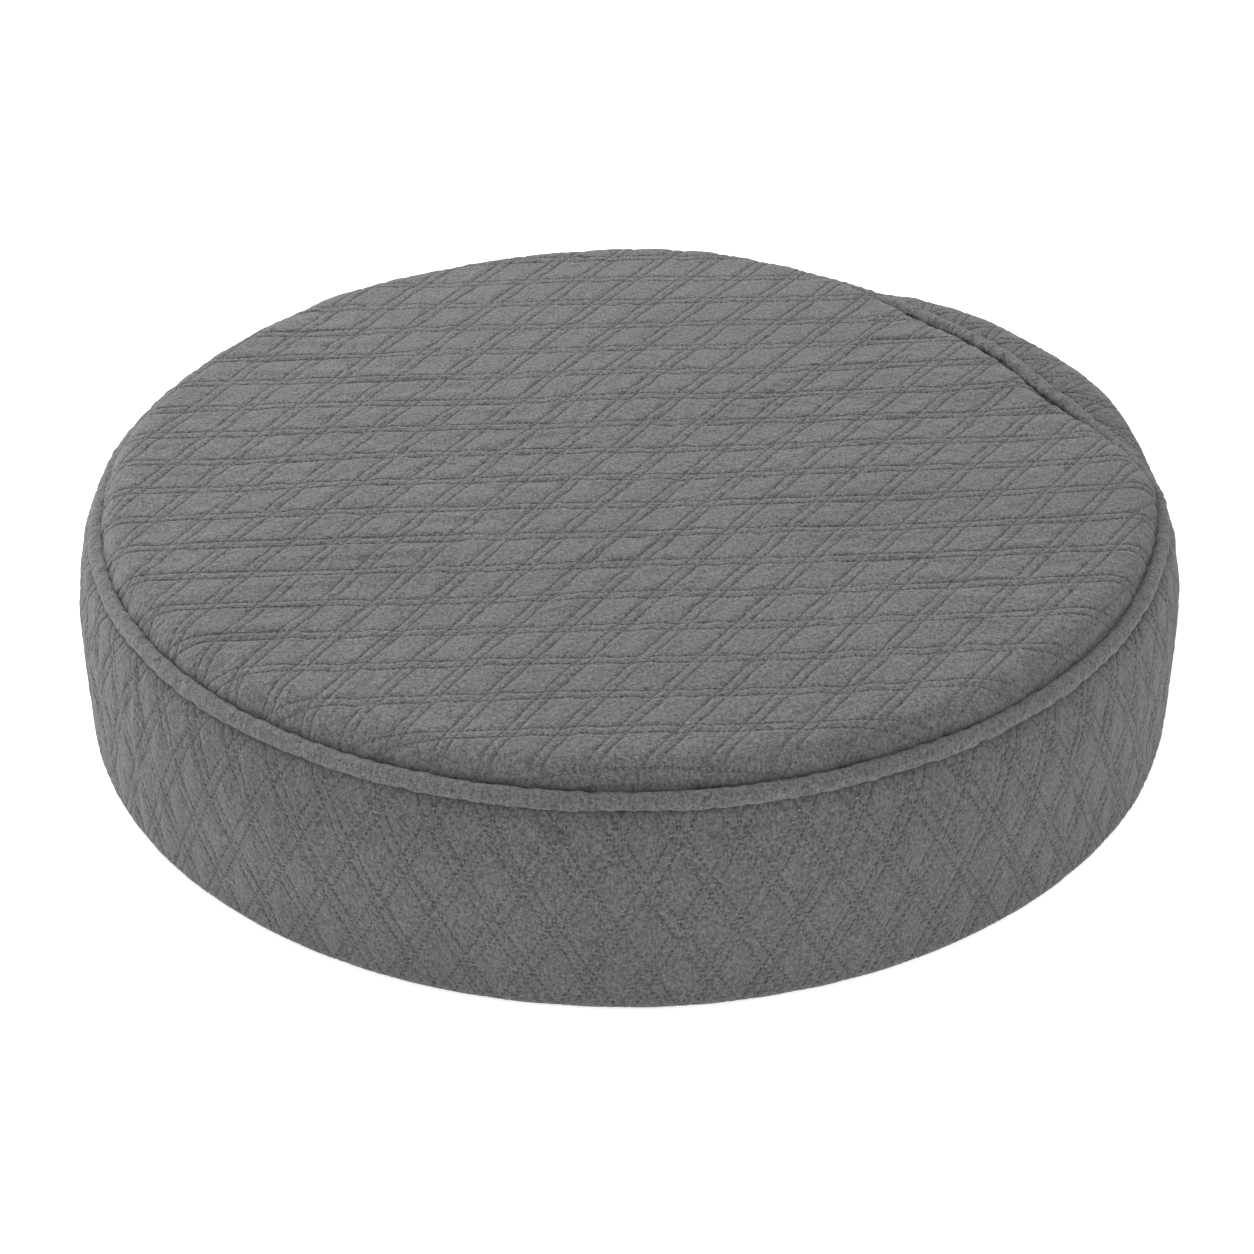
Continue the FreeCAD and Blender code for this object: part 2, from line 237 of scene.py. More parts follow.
def band_base(theta, s):
    """The band before quilting, at an angle and a share s of its outline from the ground to
    the seam: the upright and the rolled outline, mixed, and turned about the middle."""
    share = drawn_in(theta)
    along = np.linspace(0, 1, profile_steps)
    radius, height = (
        mix(np.interp(s, along, upright_line[:, k]), np.interp(s, along, rolled_line[:, k]), share)
        for k in (0, 1)
    )
    return np.stack([radius * np.cos(theta), radius * np.sin(theta), height], -1)


def band_normal(theta, s):
    """Unit vector out of the band: the cross product of the steps round and up it."""
    around = band_base(theta + 0.002, s) - band_base(theta - 0.002, s)
    up = band_base(theta, np.minimum(s + 0.004, 1)) - band_base(theta, np.maximum(s - 0.004, 0))
    normal = np.cross(around, up)
    return normal / np.linalg.norm(normal, axis=-1, keepdims=True)


# %% Top panel outline
top_crease = (192.6, 79.5)
drawn_crease = (170.0, 81.8)
dome_radius = 11316.0
shoulder_width = (13.0, 12.0)


def crease_radius(theta):
    return mix(top_crease[0], drawn_crease[0], drawn_in(theta))


def top_height(x, y):
    """Height of the top before quilting: a very flat dome, less a round shoulder that is a
    circle's arc from the dome down to the seam."""
    theta, radius = np.arctan2(y, x), np.hypot(x, y)
    share = drawn_in(theta)
    edge = mix(top_crease[0], drawn_crease[0], share)
    width = mix(shoulder_width[0], shoulder_width[1], share)
    crease = mix(top_crease[1], drawn_crease[1], share)
    fall = pad_height - edge**2 / (2 * dome_radius) - crease
    bend = (width**2 + fall**2) / (2 * fall)
    reach = np.clip(width - (edge - radius), 0, width)
    shoulder = bend - np.sqrt(bend**2 - reach**2)
    return pad_height - radius**2 / (2 * dome_radius) - shoulder


def top_normal(x, y):
    """Unit vector out of the top, from the height's slope each way."""
    step = 0.4
    slope_x = (top_height(x + step, y) - top_height(x - step, y)) / (2 * step)
    slope_y = (top_height(x, y + step) - top_height(x, y - step)) / (2 * step)
    normal = np.stack([-slope_x, -slope_y, np.ones_like(slope_x)], -1)
    return normal / np.linalg.norm(normal, axis=-1, keepdims=True)


def square_to_disc(a, b):
    """Squares round the middle of a square become circles, so a square grid covers a disc
    with no pole. a and b run from -1 to 1."""
    wide = np.abs(a) >= np.abs(b)
    major = np.where(wide, a, b)
    minor = np.where(wide, b, a)
    turn = math.pi / 4 * minor / np.where(major == 0, 1, major)
    along, across = major * np.cos(turn), major * np.sin(turn)
    return np.where(wide, along, across), np.where(wide, across, along)


def disc_to_square(x, y):
    """The way back from the disc to the square."""
    wide = np.abs(x) >= np.abs(y)
    major, minor = np.where(wide, x, y), np.where(wide, y, x)
    size = np.copysign(np.hypot(x, y), major)
    side = size * 4 / math.pi * np.arctan(minor / np.where(major == 0, 1, major))
    return np.where(wide, size, side), np.where(wide, side, size)


def top_places(count, inset=0.0):
    """Where a square grid of points lies on the top panel, seen from above."""
    line = np.linspace(-1, 1, count)
    x, y = square_to_disc(*np.meshgrid(line, line, indexing="ij"))
    edge = crease_radius(np.arctan2(y, x)) - inset
    return x * edge, y * edge


# %% [markdown]
# ## Letting the cover settle
#
# A sewn cover is a little bigger than its foam, so it swells between its seams and
# wrinkles beside them. A cloth simulation gives that: a coarse bag of the whole cover,
# held at its seams and its underside, and pressed from inside. Only its movement is kept.
# The fine surfaces read the movement between the bag's points, so their stitching stays
# sharp. The bag's top is a square grid and its band a grid of angle and height.

# %% Simulate the bag
bag_side = 61
bag_rings = 14
bag_columns = 4 * (bag_side - 1)
bag_cap = 0.6
bag_steps = 20
loose_hold = 0.3


def settle_cover():
    """How far each point of the coarse bag moves, for its top grid and its band grid."""
    top_x, top_y = top_places(bag_side)
    top = np.stack([top_x, top_y, top_height(top_x, top_y)], -1)
    rim = rim_numbers(bag_side)
    angle = np.arctan2(top_y, top_x).ravel()[rim]
    share = np.linspace(0, 1, bag_rings + 1)[:-1]
    band = band_base(np.broadcast_to(angle, (bag_rings, bag_columns)), share[:, None])
    floor_scale = (pad_radius - foot_round) / crease_radius(np.arctan2(top_y, top_x))
    floor = np.stack([top_x * floor_scale, top_y * floor_scale, np.zeros_like(top_x)], -1)
    points = np.concatenate([top.reshape(-1, 3), band[1:].reshape(-1, 3), floor.reshape(-1, 3)])
    top_count, band_count = bag_side**2, (bag_rings - 1) * bag_columns
    rings = np.concatenate([
        (top_count + band_count + rim)[None],
        top_count + np.arange(band_count).reshape(bag_rings - 1, bag_columns),
        rim[None],
    ])
    walls = rings.ravel()[grid_quads(len(rings), bag_columns, wrap_columns=True)]
    caps = grid_quads(bag_side, bag_side)
    faces = np.concatenate([walls, caps[:, ::-1], caps + top_count + band_count])
    if enclosed_volume(points, [faces]) < 0:
        faces = faces[:, ::-1]
    mesh = bpy.data.meshes.new("bag")
    mesh.from_pydata(points / 1000, [], faces.tolist())
    bag = bpy.data.objects.new("bag", mesh)
    bpy.context.scene.collection.objects.link(bag)
    held = bag.vertex_groups.new(name="held")
    top_loose = np.setdiff1d(np.arange(top_count), rim)
    loose = np.concatenate([top_loose, np.arange(top_count, top_count + band_count)])
    held.add(range(len(points)), 1.0, "REPLACE")
    held.add(loose.tolist(), loose_hold, "REPLACE")
    cloth = bag.modifiers.new("cloth", "CLOTH")
    cloth.settings.quality = 6
    cloth.settings.mass = 0.15
    cloth.settings.vertex_group_mass = "held"
    cloth.settings.pin_stiffness = 1.0
    cloth.settings.shrink_min = -0.008
    cloth.settings.bending_stiffness = 2.0
    cloth.settings.use_pressure = True
    cloth.settings.uniform_pressure_force = 0.3
    cloth.settings.effector_weights.gravity = 0.0
    cloth.point_cache.frame_end = bag_steps
    for step in range(1, bag_steps + 1):
        bpy.context.scene.frame_set(step)
    settled = bag.evaluated_get(bpy.context.evaluated_depsgraph_get()).to_mesh()
    moved = np.empty(len(points) * 3)
    settled.vertices.foreach_get("co", moved)
    moved = moved.reshape(-1, 3) * 1000 - points
    bpy.data.objects.remove(bag)
    bpy.context.scene.frame_set(1)
    far = np.linalg.norm(moved, axis=-1, keepdims=True)
    moved *= bag_cap * np.tanh(far / bag_cap) / np.maximum(far, 1e-6)
    print(f"bag moved {far.mean():.2f} mm on average, {far.max():.2f} mm at most, before its cap")
    still = np.zeros((1, bag_columns, 3))
    on_band = moved[top_count:top_count + band_count].reshape(bag_rings - 1, bag_columns, 3)
    on_band = np.concatenate([still, on_band, still])[:, np.argsort(angle)]
    return moved[:top_count].reshape(bag_side, bag_side, 3), on_band


top_moves, band_moves = settle_cover()


# %% Read the movement anywhere
def between(grid, u, v, wrap=False):
    """The grid's value between its points: the mean of the four nearest, weighted by how
    near each is. u and v are shares from 0 to 1 down the rows and along the columns."""
    rows, columns = grid.shape[:2]
    u = np.clip(u, 0, 1) * (rows - 1)
    v = (v % 1) * columns if wrap else np.clip(v, 0, 1) * (columns - 1)
    row = np.minimum(u.astype(int), rows - 2)
    column = v.astype(int) % columns if wrap else np.minimum(v.astype(int), columns - 2)
    after = (column + 1) % columns
    du, dv = ease(u - row)[..., None], ease(v - v.astype(int) if wrap else v - column)[..., None]
    near = mix(grid[row, column], grid[row, after], dv)
    return mix(near, mix(grid[row + 1, column], grid[row + 1, after], dv), du)


def top_movement(x, y):
    edge = crease_radius(np.arctan2(y, x))
    a, b = disc_to_square(x / edge, y / edge)
    return between(top_moves, (a + 1) / 2, (b + 1) / 2)


def band_movement(theta, s):
    turn = (theta + math.pi) / (2 * math.pi)
    return between(band_moves, s, turn, wrap=True)


# %% [markdown]
# ## Quilting
#
# The fabric is sewn to its wadding in pairs of parallel rows, in two directions, before
# the panels are cut. Each row pulls the fabric down in a narrow furrow. Between the two
# rows of a pair a slim ridge stands up, and between the pairs a flat rhombus.
#
# A function of the place gives the distance to the nearest row of each direction. The
# relief is the product of two curves of those distances, so rows stay deep where they
# cross. The rows on the top drift and spread a little, because the panel was stretched
# when it was sewn in: bent coordinates make that.

# %% Rows on the top
top_pitch = 20.3
slant_pitch = 16.8
slant = math.radians(58)
top_phase = 0.25
slant_phase = 0.57
pair_gap = 3.9
row_spread = 2.3e-4
fan = 6.5e-4


def row_rise(x):
    """How far the level rows climb to the right: level in the middle, then ever steeper."""
    return 0.022 * x + 3.0e-4 * np.clip(x - 20, 0, None) ** 2


def spare(x, y):
    """Extra width of the slanting rows at the right front, where the sheet was pulled."""
    return 2.5e-5 * np.clip(x, 0, None) * np.clip(-y, 0, None)


def level_rows(x, y):
    """Number of the level row at a place, counted from the front with the spread undone."""
    flat = y - row_rise(x)
    return (flat - row_spread * flat * flat) / top_pitch - top_phase


def slant_rows(x, y):
    """Number of the slanting row at a place."""
    across = x / (1 + fan * y) * math.sin(slant)
    number = (across - (y - fan / 2 * y * y) * math.cos(slant)) / slant_pitch - slant_phase
    return number - spare(x, y)


def off_row(number, pitch):
    """Millimetres from the nearest stitched line, when each whole number is the middle of a
    pair of lines."""
    return np.abs(np.abs(number - np.round(number)) * pitch - pair_gap / 2)


# %% Rows on the band
band_pitch = 17.0
steep = math.radians(61)


def band_rows(theta, s):
    """Numbers of the two steep rows at a place on the band, which lean either way."""
    across = theta * pad_radius * math.sin(steep)
    up = s * band_length(theta) * math.cos(steep)
    return (across - up) / band_pitch, (across + up) / band_pitch


# %% Relief of furrows, ridges and wrinkles
quilt_depth = 0.54
furrow_width = 0.5
furrow_tip = 0.3


def puff(distance):
    """Share of full height at a distance from a row: one less a falling exponential, with
    its tip rounded as the fabric's own thickness rounds it."""
    rounded = np.sqrt(distance**2 + furrow_tip**2) - furrow_tip
    return 1 - np.exp(-rounded / furrow_width)


def quilt_relief(first, second, first_pitch, second_pitch):
    """Height of the quilting, and the distance to the nearest row of either direction."""
    near_first, near_second = off_row(first, first_pitch), off_row(second, second_pitch)
    height = quilt_depth * (puff(near_first) * puff(near_second) - 0.6)
    return height, np.minimum(near_first, near_second)


def crinkle(x, y, nearest, seed):
    """Small wrinkles: a fine crumple everywhere, and sharper creases close to the rows."""
    fine = soft_noise(x, y, 3.0, seed) * 0.06
    creases = 0.13 * np.abs(soft_noise(x, y, 5.0, seed + 1)) * np.exp(-nearest / 3.5)
    swell = soft_noise(x, y, 24, seed + 2) * 0.12 + soft_noise(x, y, 90, seed + 3) * 0.35
    return fine - creases + swell


# %% The quilted surfaces
top_gather, band_gather = 13, 15
piping_tuck = (0.7, 2.8)
# How strong the painted shade in the crease beside the piping is: on the edge, and where drawn in.
seam_shade = (1.2, 2.6)


def top_surface(x, y):
    """Points of the finished top: base, settled movement, and relief along the normal. It
    tucks in beside the piping and gathers where the seam is drawn in."""
    theta, radius = np.arctan2(y, x), np.hypot(x, y)
    edge = crease_radius(theta)
    inside = np.maximum(edge - radius, 0)
    share = drawn_in(theta)
    rows = level_rows(x, y), slant_rows(x, y)
    height, nearest = quilt_relief(*rows, top_pitch, slant_pitch)
    relief = height * mix(0.75, 1, ease(inside / 9)) + crinkle(x, y, nearest, 11)
    around = theta * edge
    gathers = np.sin(2 * math.pi * around / top_gather + 3.5 * soft_noise(around, 0, 60, 5))
    relief += gathers * mix(0.2, 0.35, share) * np.exp(-inside / mix(6, 9, share))
    relief -= mix(*piping_tuck, ease(3 * share)) * np.exp(-inside / 1.6)
    normal = top_normal(x, y)
    base = np.stack([x, y, top_height(x, y)], -1)
    points = base + normal * relief[..., None] + top_movement(x, y)
    # Seam mask for painted shade: a dark crease beside the piping, deeper where the seam is drawn in.
    seam = np.exp(-((inside / 1.2) ** 2)) * mix(*seam_shade, ease(3 * share))
    return points, normal, {"row_first": rows[0], "row_second": rows[1], "seam": seam}


def band_surface(theta, s, first_angle, last_angle, low=0.0, high=1.0):
    """Points of the finished band between two upright seams. It rolls in at both seams and
    at a hem, rests flat on the ground, and gathers below a drawn-in piping seam."""
    length = band_length(theta)
    to_piping = (1 - s) * length
    share = drawn_in(theta)
    rows = band_rows(theta, s)
    height, nearest = quilt_relief(*rows, band_pitch, band_pitch)
    along, up = theta * pad_radius, s * length
    relief = height * mix(0.7, 0.8, share) + crinkle(along, up, nearest, 31) * mix(0.6, 1.0, share)
    gathers = np.sin(2 * math.pi * along / band_gather + 4.0 * soft_noise(along, up, 55, 7))
    relief += gathers * mix(0.1, 0.5, share) * np.exp(-to_piping / mix(5, 8, share))
    relief *= ease(up / 7)
    relief -= 1.1 * np.exp(-to_piping / 1.1)
    side = np.minimum(theta - first_angle, last_angle - theta) * pad_radius
    relief -= 2.2 * np.exp(-np.maximum(side, 0) / 1.8) * ease(up / 5)
    # Seam mask for painted shade: dark creases at the upright seams and under the piping.
    seam = np.maximum(np.exp(-((side / 1.2) ** 2)), np.exp(-((to_piping / 1.0) ** 2)))
    if low > 0:
        relief -= hem_shape((s - low) * length)
    if high < 1:
        relief -= hem_shape((high - s) * length)
    normal = band_normal(theta, s)
    points = band_base(theta, s) + normal * relief[..., None] + band_movement(theta, s)
    points[..., 2] = np.maximum(points[..., 2], 0.05)
    marks = {"row_first": rows[0], "row_second": rows[1], "seam": seam, "climb": up}
    return points, normal, marks


def hem_shape(from_fold):
    """How far a hem lies inside the band: it slopes in towards the tape over 10 mm, turns
    in sharply at its fold, and has a furrow where it is topstitched."""
    slope = 1.6 * (1 - ease(from_fold / 10))
    fold = 1.4 * np.exp(-np.maximum(from_fold, 0) / 0.8)
    stitched = 0.6 * np.exp(-(((from_fold - 5) / 0.9) ** 2))
    return slope + fold + stitched


# %% [markdown]
# ## The marl cloth
#
# The cloth is a soft grey marl: a dense short pile over a knit, spun from darker and
# lighter fibres. Up close it has a pebbled grain. Five effects are shared by the cloth
# parts, so each is a node group: the marl colour, the grain, the fine lines along the
# stitched rows, the needle holes in them, and a painted shade that darkens the colour
# where stitching parts the pile and in the creases beside the seams. The groups put out
# colours and heights only. The shader, with its sheen, stays in each material.


# %% Small helpers for nodes
def add_node(tree, kind, **settings):
    node = tree.nodes.new(kind)
    for key, value in settings.items():
        setattr(node, key, value)
    return node


def new_group(name, inputs, outputs):
    """An empty shader node group with named inputs and outputs, and its two end nodes."""
    group = bpy.data.node_groups.new(name, "ShaderNodeTree")
    for label, kind, value in inputs:
        socket = group.interface.new_socket(name=label, in_out="INPUT", socket_type=kind)
        if value is not None:
            socket.default_value = value
    for label, kind in outputs:
        group.interface.new_socket(name=label, in_out="OUTPUT", socket_type=kind)
    return group, group.nodes.new("NodeGroupInput"), group.nodes.new("NodeGroupOutput")


def noise(tree, vector, scale, detail=2.0, roughness=0.5, stretch=(1, 1, 1)):
    """A noise texture of a scale in cells a metre, stretched by a Mapping node."""
    mapping = add_node(tree, "ShaderNodeMapping")
    mapping.inputs["Scale"].default_value = stretch
    texture = add_node(tree, "ShaderNodeTexNoise")
    texture.inputs["Scale"].default_value = scale
    texture.inputs["Detail"].default_value = detail
    texture.inputs["Roughness"].default_value = roughness
    tree.links.new(vector, mapping.inputs["Vector"])
    tree.links.new(mapping.outputs["Vector"], texture.inputs["Vector"])
    return texture.outputs["Fac"]


def ramp(tree, value, low, high, first=(0, 0, 0, 1), last=(1, 1, 1, 1)):
    """A colour that runs from first to last as a value runs from low to high."""
    node = add_node(tree, "ShaderNodeValToRGB")
    node.color_ramp.elements[0].position = low
    node.color_ramp.elements[1].position = high
    node.color_ramp.elements[0].color = first
    node.color_ramp.elements[1].color = last
    tree.links.new(value, node.inputs["Fac"])
    return node.outputs["Color"]


def calculate(tree, kind, first, second):
    """One sum or product. Each part is a socket or a number."""
    node = add_node(tree, "ShaderNodeMath", operation=kind)
    for socket, part in zip(node.inputs, (first, second)):
        if isinstance(part, (int, float)):
            socket.default_value = part
        else:
            tree.links.new(part, socket)
    return node.outputs[0]


def mix_colour(tree, factor, first, second, blend="MIX"):
    """Mixes two colours. Each is a socket or a colour."""
    node = add_node(tree, "ShaderNodeMix", data_type="RGBA", blend_type=blend)
    for label, part in ((0, factor), (6, first), (7, second)):
        if isinstance(part, (int, float, tuple)):
            node.inputs[label].default_value = part
        else:
            tree.links.new(part, node.inputs[label])
    return node.outputs[2]


# %% Shared effects
def make_marl():
    """Fibres of two greys, in short flecks about half a millimetre long, over a slow
    change from patch to patch."""
    group, entry, result = new_group(
        "marl",
        [
            ("Vector", "NodeSocketVector", None),
            ("Dark", "NodeSocketColor", (0.1, 0.1, 0.1, 1)),
            ("Light", "NodeSocketColor", (0.2, 0.2, 0.2, 1)),
            ("Patches", "NodeSocketFloat", 0.25),
        ],
        [("Color", "NodeSocketColor")],
    )
    vector = entry.outputs["Vector"]
    flecks = noise(group, vector, 1100, 3, 0.6, (1, 1.6, 1))
    threads = noise(group, vector, 520, 2, 0.55, (2.2, 1, 1))
    patches = noise(group, vector, 28, 2, 0.5)
    fleck_part = calculate(group, "MULTIPLY", flecks, 0.62)
    fibre = calculate(group, "ADD", fleck_part, calculate(group, "MULTIPLY", threads, 0.38))
    colour = mix_colour(group, ramp(group, fibre, 0.38, 0.62), entry.outputs["Dark"], entry.outputs["Light"])
    shade = ramp(group, patches, 0.3, 0.7, (0.86, 0.86, 0.86, 1), (1.08, 1.08, 1.08, 1))
    shaded = mix_colour(group, 1.0, colour, shade, "MULTIPLY")
    toned = mix_colour(group, entry.outputs["Patches"], colour, shaded)
    group.links.new(toned, result.inputs["Color"])
    return group


line_strength, line_fading = 1.25, 2.6


def make_row_lines():
    """Masks of the stitched lines, from the row numbers kept on the points. How far a number
    is from a whole one, times the pitch, is the distance from the middle of a pair, and the
    two lines run half the pair's gap from there."""
    group, entry, result = new_group(
        "row_lines",
        [
            ("First number", "NodeSocketFloat", 0.0),
            ("Second number", "NodeSocketFloat", 0.0),
            ("First pitch", "NodeSocketFloat", 20.0),
            ("Second pitch", "NodeSocketFloat", 20.0),
        ],
        [("First", "NodeSocketFloat"), ("Second", "NodeSocketFloat")],
    )
    for label in ("First", "Second"):
        number = entry.outputs[label + " number"]
        away = calculate(group, "SUBTRACT", number, calculate(group, "ROUND", number, 0.0))
        share = calculate(group, "ABSOLUTE", away, 0.0)
        middle = calculate(group, "MULTIPLY", share, entry.outputs[label + " pitch"])
        off = calculate(group, "ABSOLUTE", calculate(group, "SUBTRACT", middle, pair_gap / 2), 0.0)
        line = add_node(group, "ShaderNodeClamp")
        fading = calculate(group, "MULTIPLY", off, line_fading)
        group.links.new(calculate(group, "SUBTRACT", line_strength, fading), line.inputs["Value"])
        group.links.new(line.outputs[0], result.inputs[label])
    return group


def make_needle_holes():
    """Where the needle went through: dots a stitch apart along each row. A cosine of the
    distance along the row picks the dots, and the row's own mask keeps them on it."""
    group, entry, result = new_group(
        "needle_holes",
        [
            ("First row", "NodeSocketFloat", 0.0),
            ("Second row", "NodeSocketFloat", 0.0),
            ("Along first", "NodeSocketFloat", 0.0),
            ("Along second", "NodeSocketFloat", 0.0),
        ],
        [("Holes", "NodeSocketFloat")],
    )
    dots = []
    for row, along in (("First row", "Along first"), ("Second row", "Along second")):
        turned = calculate(group, "MULTIPLY", entry.outputs[along], 2 * math.pi)
        wave = calculate(group, "COSINE", turned, 0.0)
        low = calculate(group, "MULTIPLY", calculate(group, "ADD", wave, -0.35), -1.2)
        hole = add_node(group, "ShaderNodeClamp")
        group.links.new(low, hole.inputs["Value"])
        dots.append(calculate(group, "MULTIPLY", hole.outputs[0], entry.outputs[row]))
    group.links.new(calculate(group, "MAXIMUM", *dots), result.inputs["Holes"])
    return group


def make_grain():
    """The pebbled pile: bumps a millimetre and a half wide with sharp valleys, and finer
    fibres on them."""
    group, entry, result = new_group(
        "pile_grain",
        [("Vector", "NodeSocketVector", None), ("Fibre", "NodeSocketFloat", 0.35)],
        [("Height", "NodeSocketFloat")],
    )
    vector = entry.outputs["Vector"]
    pebbles = noise(group, vector, 520, 2, 0.55)
    crumple = noise(group, vector, 260, 3, 0.6, (1, 1.5, 1))
    fibres = noise(group, vector, 1700, 2, 0.6)
    ridges = calculate(group, "ABSOLUTE", calculate(group, "SUBTRACT", crumple, 0.5), 0.0)
    rough = calculate(group, "ADD", pebbles, calculate(group, "MULTIPLY", ridges, 1.8))
    height = calculate(group, "ADD", rough, calculate(group, "MULTIPLY", fibres, entry.outputs["Fibre"]))
    group.links.new(height, result.inputs["Height"])
    return group


def make_painted_shade():
    """Painted shade: darkens a colour by a mask, along the rows where the pile parts, in the needle holes and
    beside the seams.
    """
    group, entry, result = new_group(
        "painted_furrow_shade",
        [
            ("Color", "NodeSocketColor", (0.5, 0.5, 0.5, 1)),
            ("Furrow", "NodeSocketFloat", 0.0),
            ("Depth", "NodeSocketFloat", 0.35),
        ],
        [("Color", "NodeSocketColor")],
    )
    amount = calculate(group, "MULTIPLY", entry.outputs["Furrow"], entry.outputs["Depth"])
    dark = mix_colour(group, amount, entry.outputs["Color"], (0.02, 0.02, 0.02, 1))
    group.links.new(dark, result.inputs["Color"])
    return group


marl_group, grain_group, painted_shade_group = make_marl(), make_grain(), make_painted_shade()
holes_group, lines_group = make_needle_holes(), make_row_lines()


def new_material(name, roughness, metallic=0.0):
    """An empty material with its shader and its Object coordinates."""
    material = bpy.data.materials.new(name)
    material.use_nodes = True
    tree = material.node_tree
    shader = tree.nodes["Principled BSDF"]
    shader.inputs["Roughness"].default_value = roughness
    shader.inputs["Metallic"].default_value = metallic
    coordinates = add_node(tree, "ShaderNodeTexCoord")
    return material, tree, shader, coordinates.outputs["Object"]


def place_group(tree, group, vector=None, **values):
    node = add_node(tree, "ShaderNodeGroup", node_tree=group)
    if vector is not None:
        tree.links.new(vector, node.inputs["Vector"])
    for label, value in values.items():
        if isinstance(value, (int, float, tuple)):
            node.inputs[label].default_value = value
        else:
            tree.links.new(value, node.inputs[label])
    return node


def link_bump(tree, shader, height, distance, strength=1.0):
    bump = add_node(tree, "ShaderNodeBump")
    bump.inputs["Strength"].default_value = strength
    bump.inputs["Distance"].default_value = distance / 1000
    tree.links.new(height, bump.inputs["Height"])
    tree.links.new(bump.outputs["Normal"], shader.inputs["Normal"])


def attribute(tree, name):
    return add_node(tree, "ShaderNodeAttribute", attribute_name=name).outputs["Fac"]


def marl_cloth(
    name, dark, light, rows=None, seams=False, grain_depth=0.62, second_share=1.0, row_shade=0.0, pitches=None
):
    """The cover's cloth in two greys, with painted shade beside a seam, along rows and in the needle holes.
    rows(tree, vector) gives the number of stitches passed along each row direction, and
    pitches the distance between the rows of each."""
    material, tree, shader, vector = new_material(name, 0.9)
    shader.inputs["Sheen Weight"].default_value = 0.15
    shader.inputs["Sheen Roughness"].default_value = 0.6
    shader.inputs["Specular IOR Level"].default_value = 0.25
    marl = place_group(tree, marl_group, vector, Dark=dark, Light=light, Patches=0.5)
    colour = marl.outputs["Color"]
    grain = place_group(tree, grain_group, vector, Fibre=0.35)
    height = grain.outputs["Height"]
    if seams:
        # Painted shade in the crease beside a seam, from the seam mask on the points.
        shade = place_group(tree, painted_shade_group, Color=colour, Furrow=attribute(tree, "seam"), Depth=0.33)
        colour = shade.outputs["Color"]
    if rows:
        lines = place_group(tree, lines_group)
        tree.links.new(attribute(tree, "row_first"), lines.inputs["First number"])
        tree.links.new(attribute(tree, "row_second"), lines.inputs["Second number"])
        lines.inputs["First pitch"].default_value, lines.inputs["Second pitch"].default_value = pitches
        first = lines.outputs["First"]
        second = calculate(tree, "MULTIPLY", lines.outputs["Second"], second_share)
        along_first, along_second = rows(tree, vector)
        holes = place_group(tree, holes_group)
        hole_inputs = {
            "First row": first,
            "Second row": second,
            "Along first": along_first,
            "Along second": along_second,
        }
        for label, value in hole_inputs.items():
            tree.links.new(value, holes.inputs[label])
        row = calculate(tree, "MAXIMUM", first, lines.outputs["Second"])
        # Painted shade along the stitched lines, and deeper painted shade in the needle holes. The same masks
        # also sink the bump.
        rows_painted_dark = place_group(tree, painted_shade_group, Color=colour, Furrow=row, Depth=row_shade)
        holes_painted_dark = place_group(
            tree, painted_shade_group, Color=rows_painted_dark.outputs["Color"], Furrow=holes.outputs["Holes"], Depth=0.3
        )
        colour = holes_painted_dark.outputs["Color"]
        hole_part = calculate(tree, "MULTIPLY", holes.outputs["Holes"], 0.35)
        sunk = calculate(tree, "ADD", hole_part, calculate(tree, "MULTIPLY", row, 0.45))
        height = calculate(tree, "SUBTRACT", height, sunk)
    tree.links.new(colour, shader.inputs["Base Color"])
    link_bump(tree, shader, height, grain_depth)
    return material


def top_stitch_count(tree, vector):
    """Stitches passed along the top's rows: by x on the level rows, by y on the others."""
    split = add_node(tree, "ShaderNodeSeparateXYZ")
    tree.links.new(vector, split.inputs[0])
    counts = []
    for axis, step in enumerate((stitch_pitch, stitch_pitch * math.sin(slant))):
        from_edge = calculate(tree, "ADD", split.outputs[axis], top_crease[0] / 1000)
        counts.append(calculate(tree, "MULTIPLY", from_edge, 1000 / step))
    return counts


def band_stitch_count(tree, vector):
    """Stitches passed along the band's rows, which both climb at the same angle."""
    climb = calculate(tree, "ADD", attribute(tree, "climb"), -first_stitch)
    count = calculate(tree, "MULTIPLY", climb, 1 / (stitch_pitch * math.sin(steep)))
    return count, count


# %% Cloth materials
stitch_pitch = 2.1
first_stitch = 0.5
cover_dark = (0.054, 0.055, 0.055, 1)
cover_light = (0.166, 0.168, 0.168, 1)
top_pitches = (top_pitch, slant_pitch)
cover_cloth = marl_cloth(
    "top_cloth", cover_dark, cover_light, top_stitch_count, True, second_share=0.25, pitches=top_pitches
)
# Painted shade: the band's two greys are the cover's greys made about a seventh darker, so the side band
# reads darker than the top.
shaded_band_dark = (0.047, 0.048, 0.048, 1)
shaded_band_light = (0.140, 0.142, 0.142, 1)
band_pitches = (band_pitch, band_pitch)
shaded_band_cloth = marl_cloth(
    "shaded_band_cloth", shaded_band_dark, shaded_band_light, band_stitch_count, True, row_shade=0.2, pitches=band_pitches
)
piping_cloth = marl_cloth("piping_cloth", cover_dark, cover_light, seams=True)
thread_cloth = marl_cloth("sewing_thread", (0.11, 0.112, 0.112, 1), (0.26, 0.262, 0.262, 1), grain_depth=0.1)
plain_cloth = marl_cloth("tab_cloth", cover_dark, cover_light)

# %% [markdown]
# ## The top panel
#
# A square grid drawn onto the disc gives cells of nearly one size, with no pole in the
# middle. The grid is fine enough to hold a furrow that is under two millimetres wide.
# The panel's inner side is never seen, so it has a coarse grid. Along the edge, one
# many-sided face joins each coarse step to the fine steps that it spans.


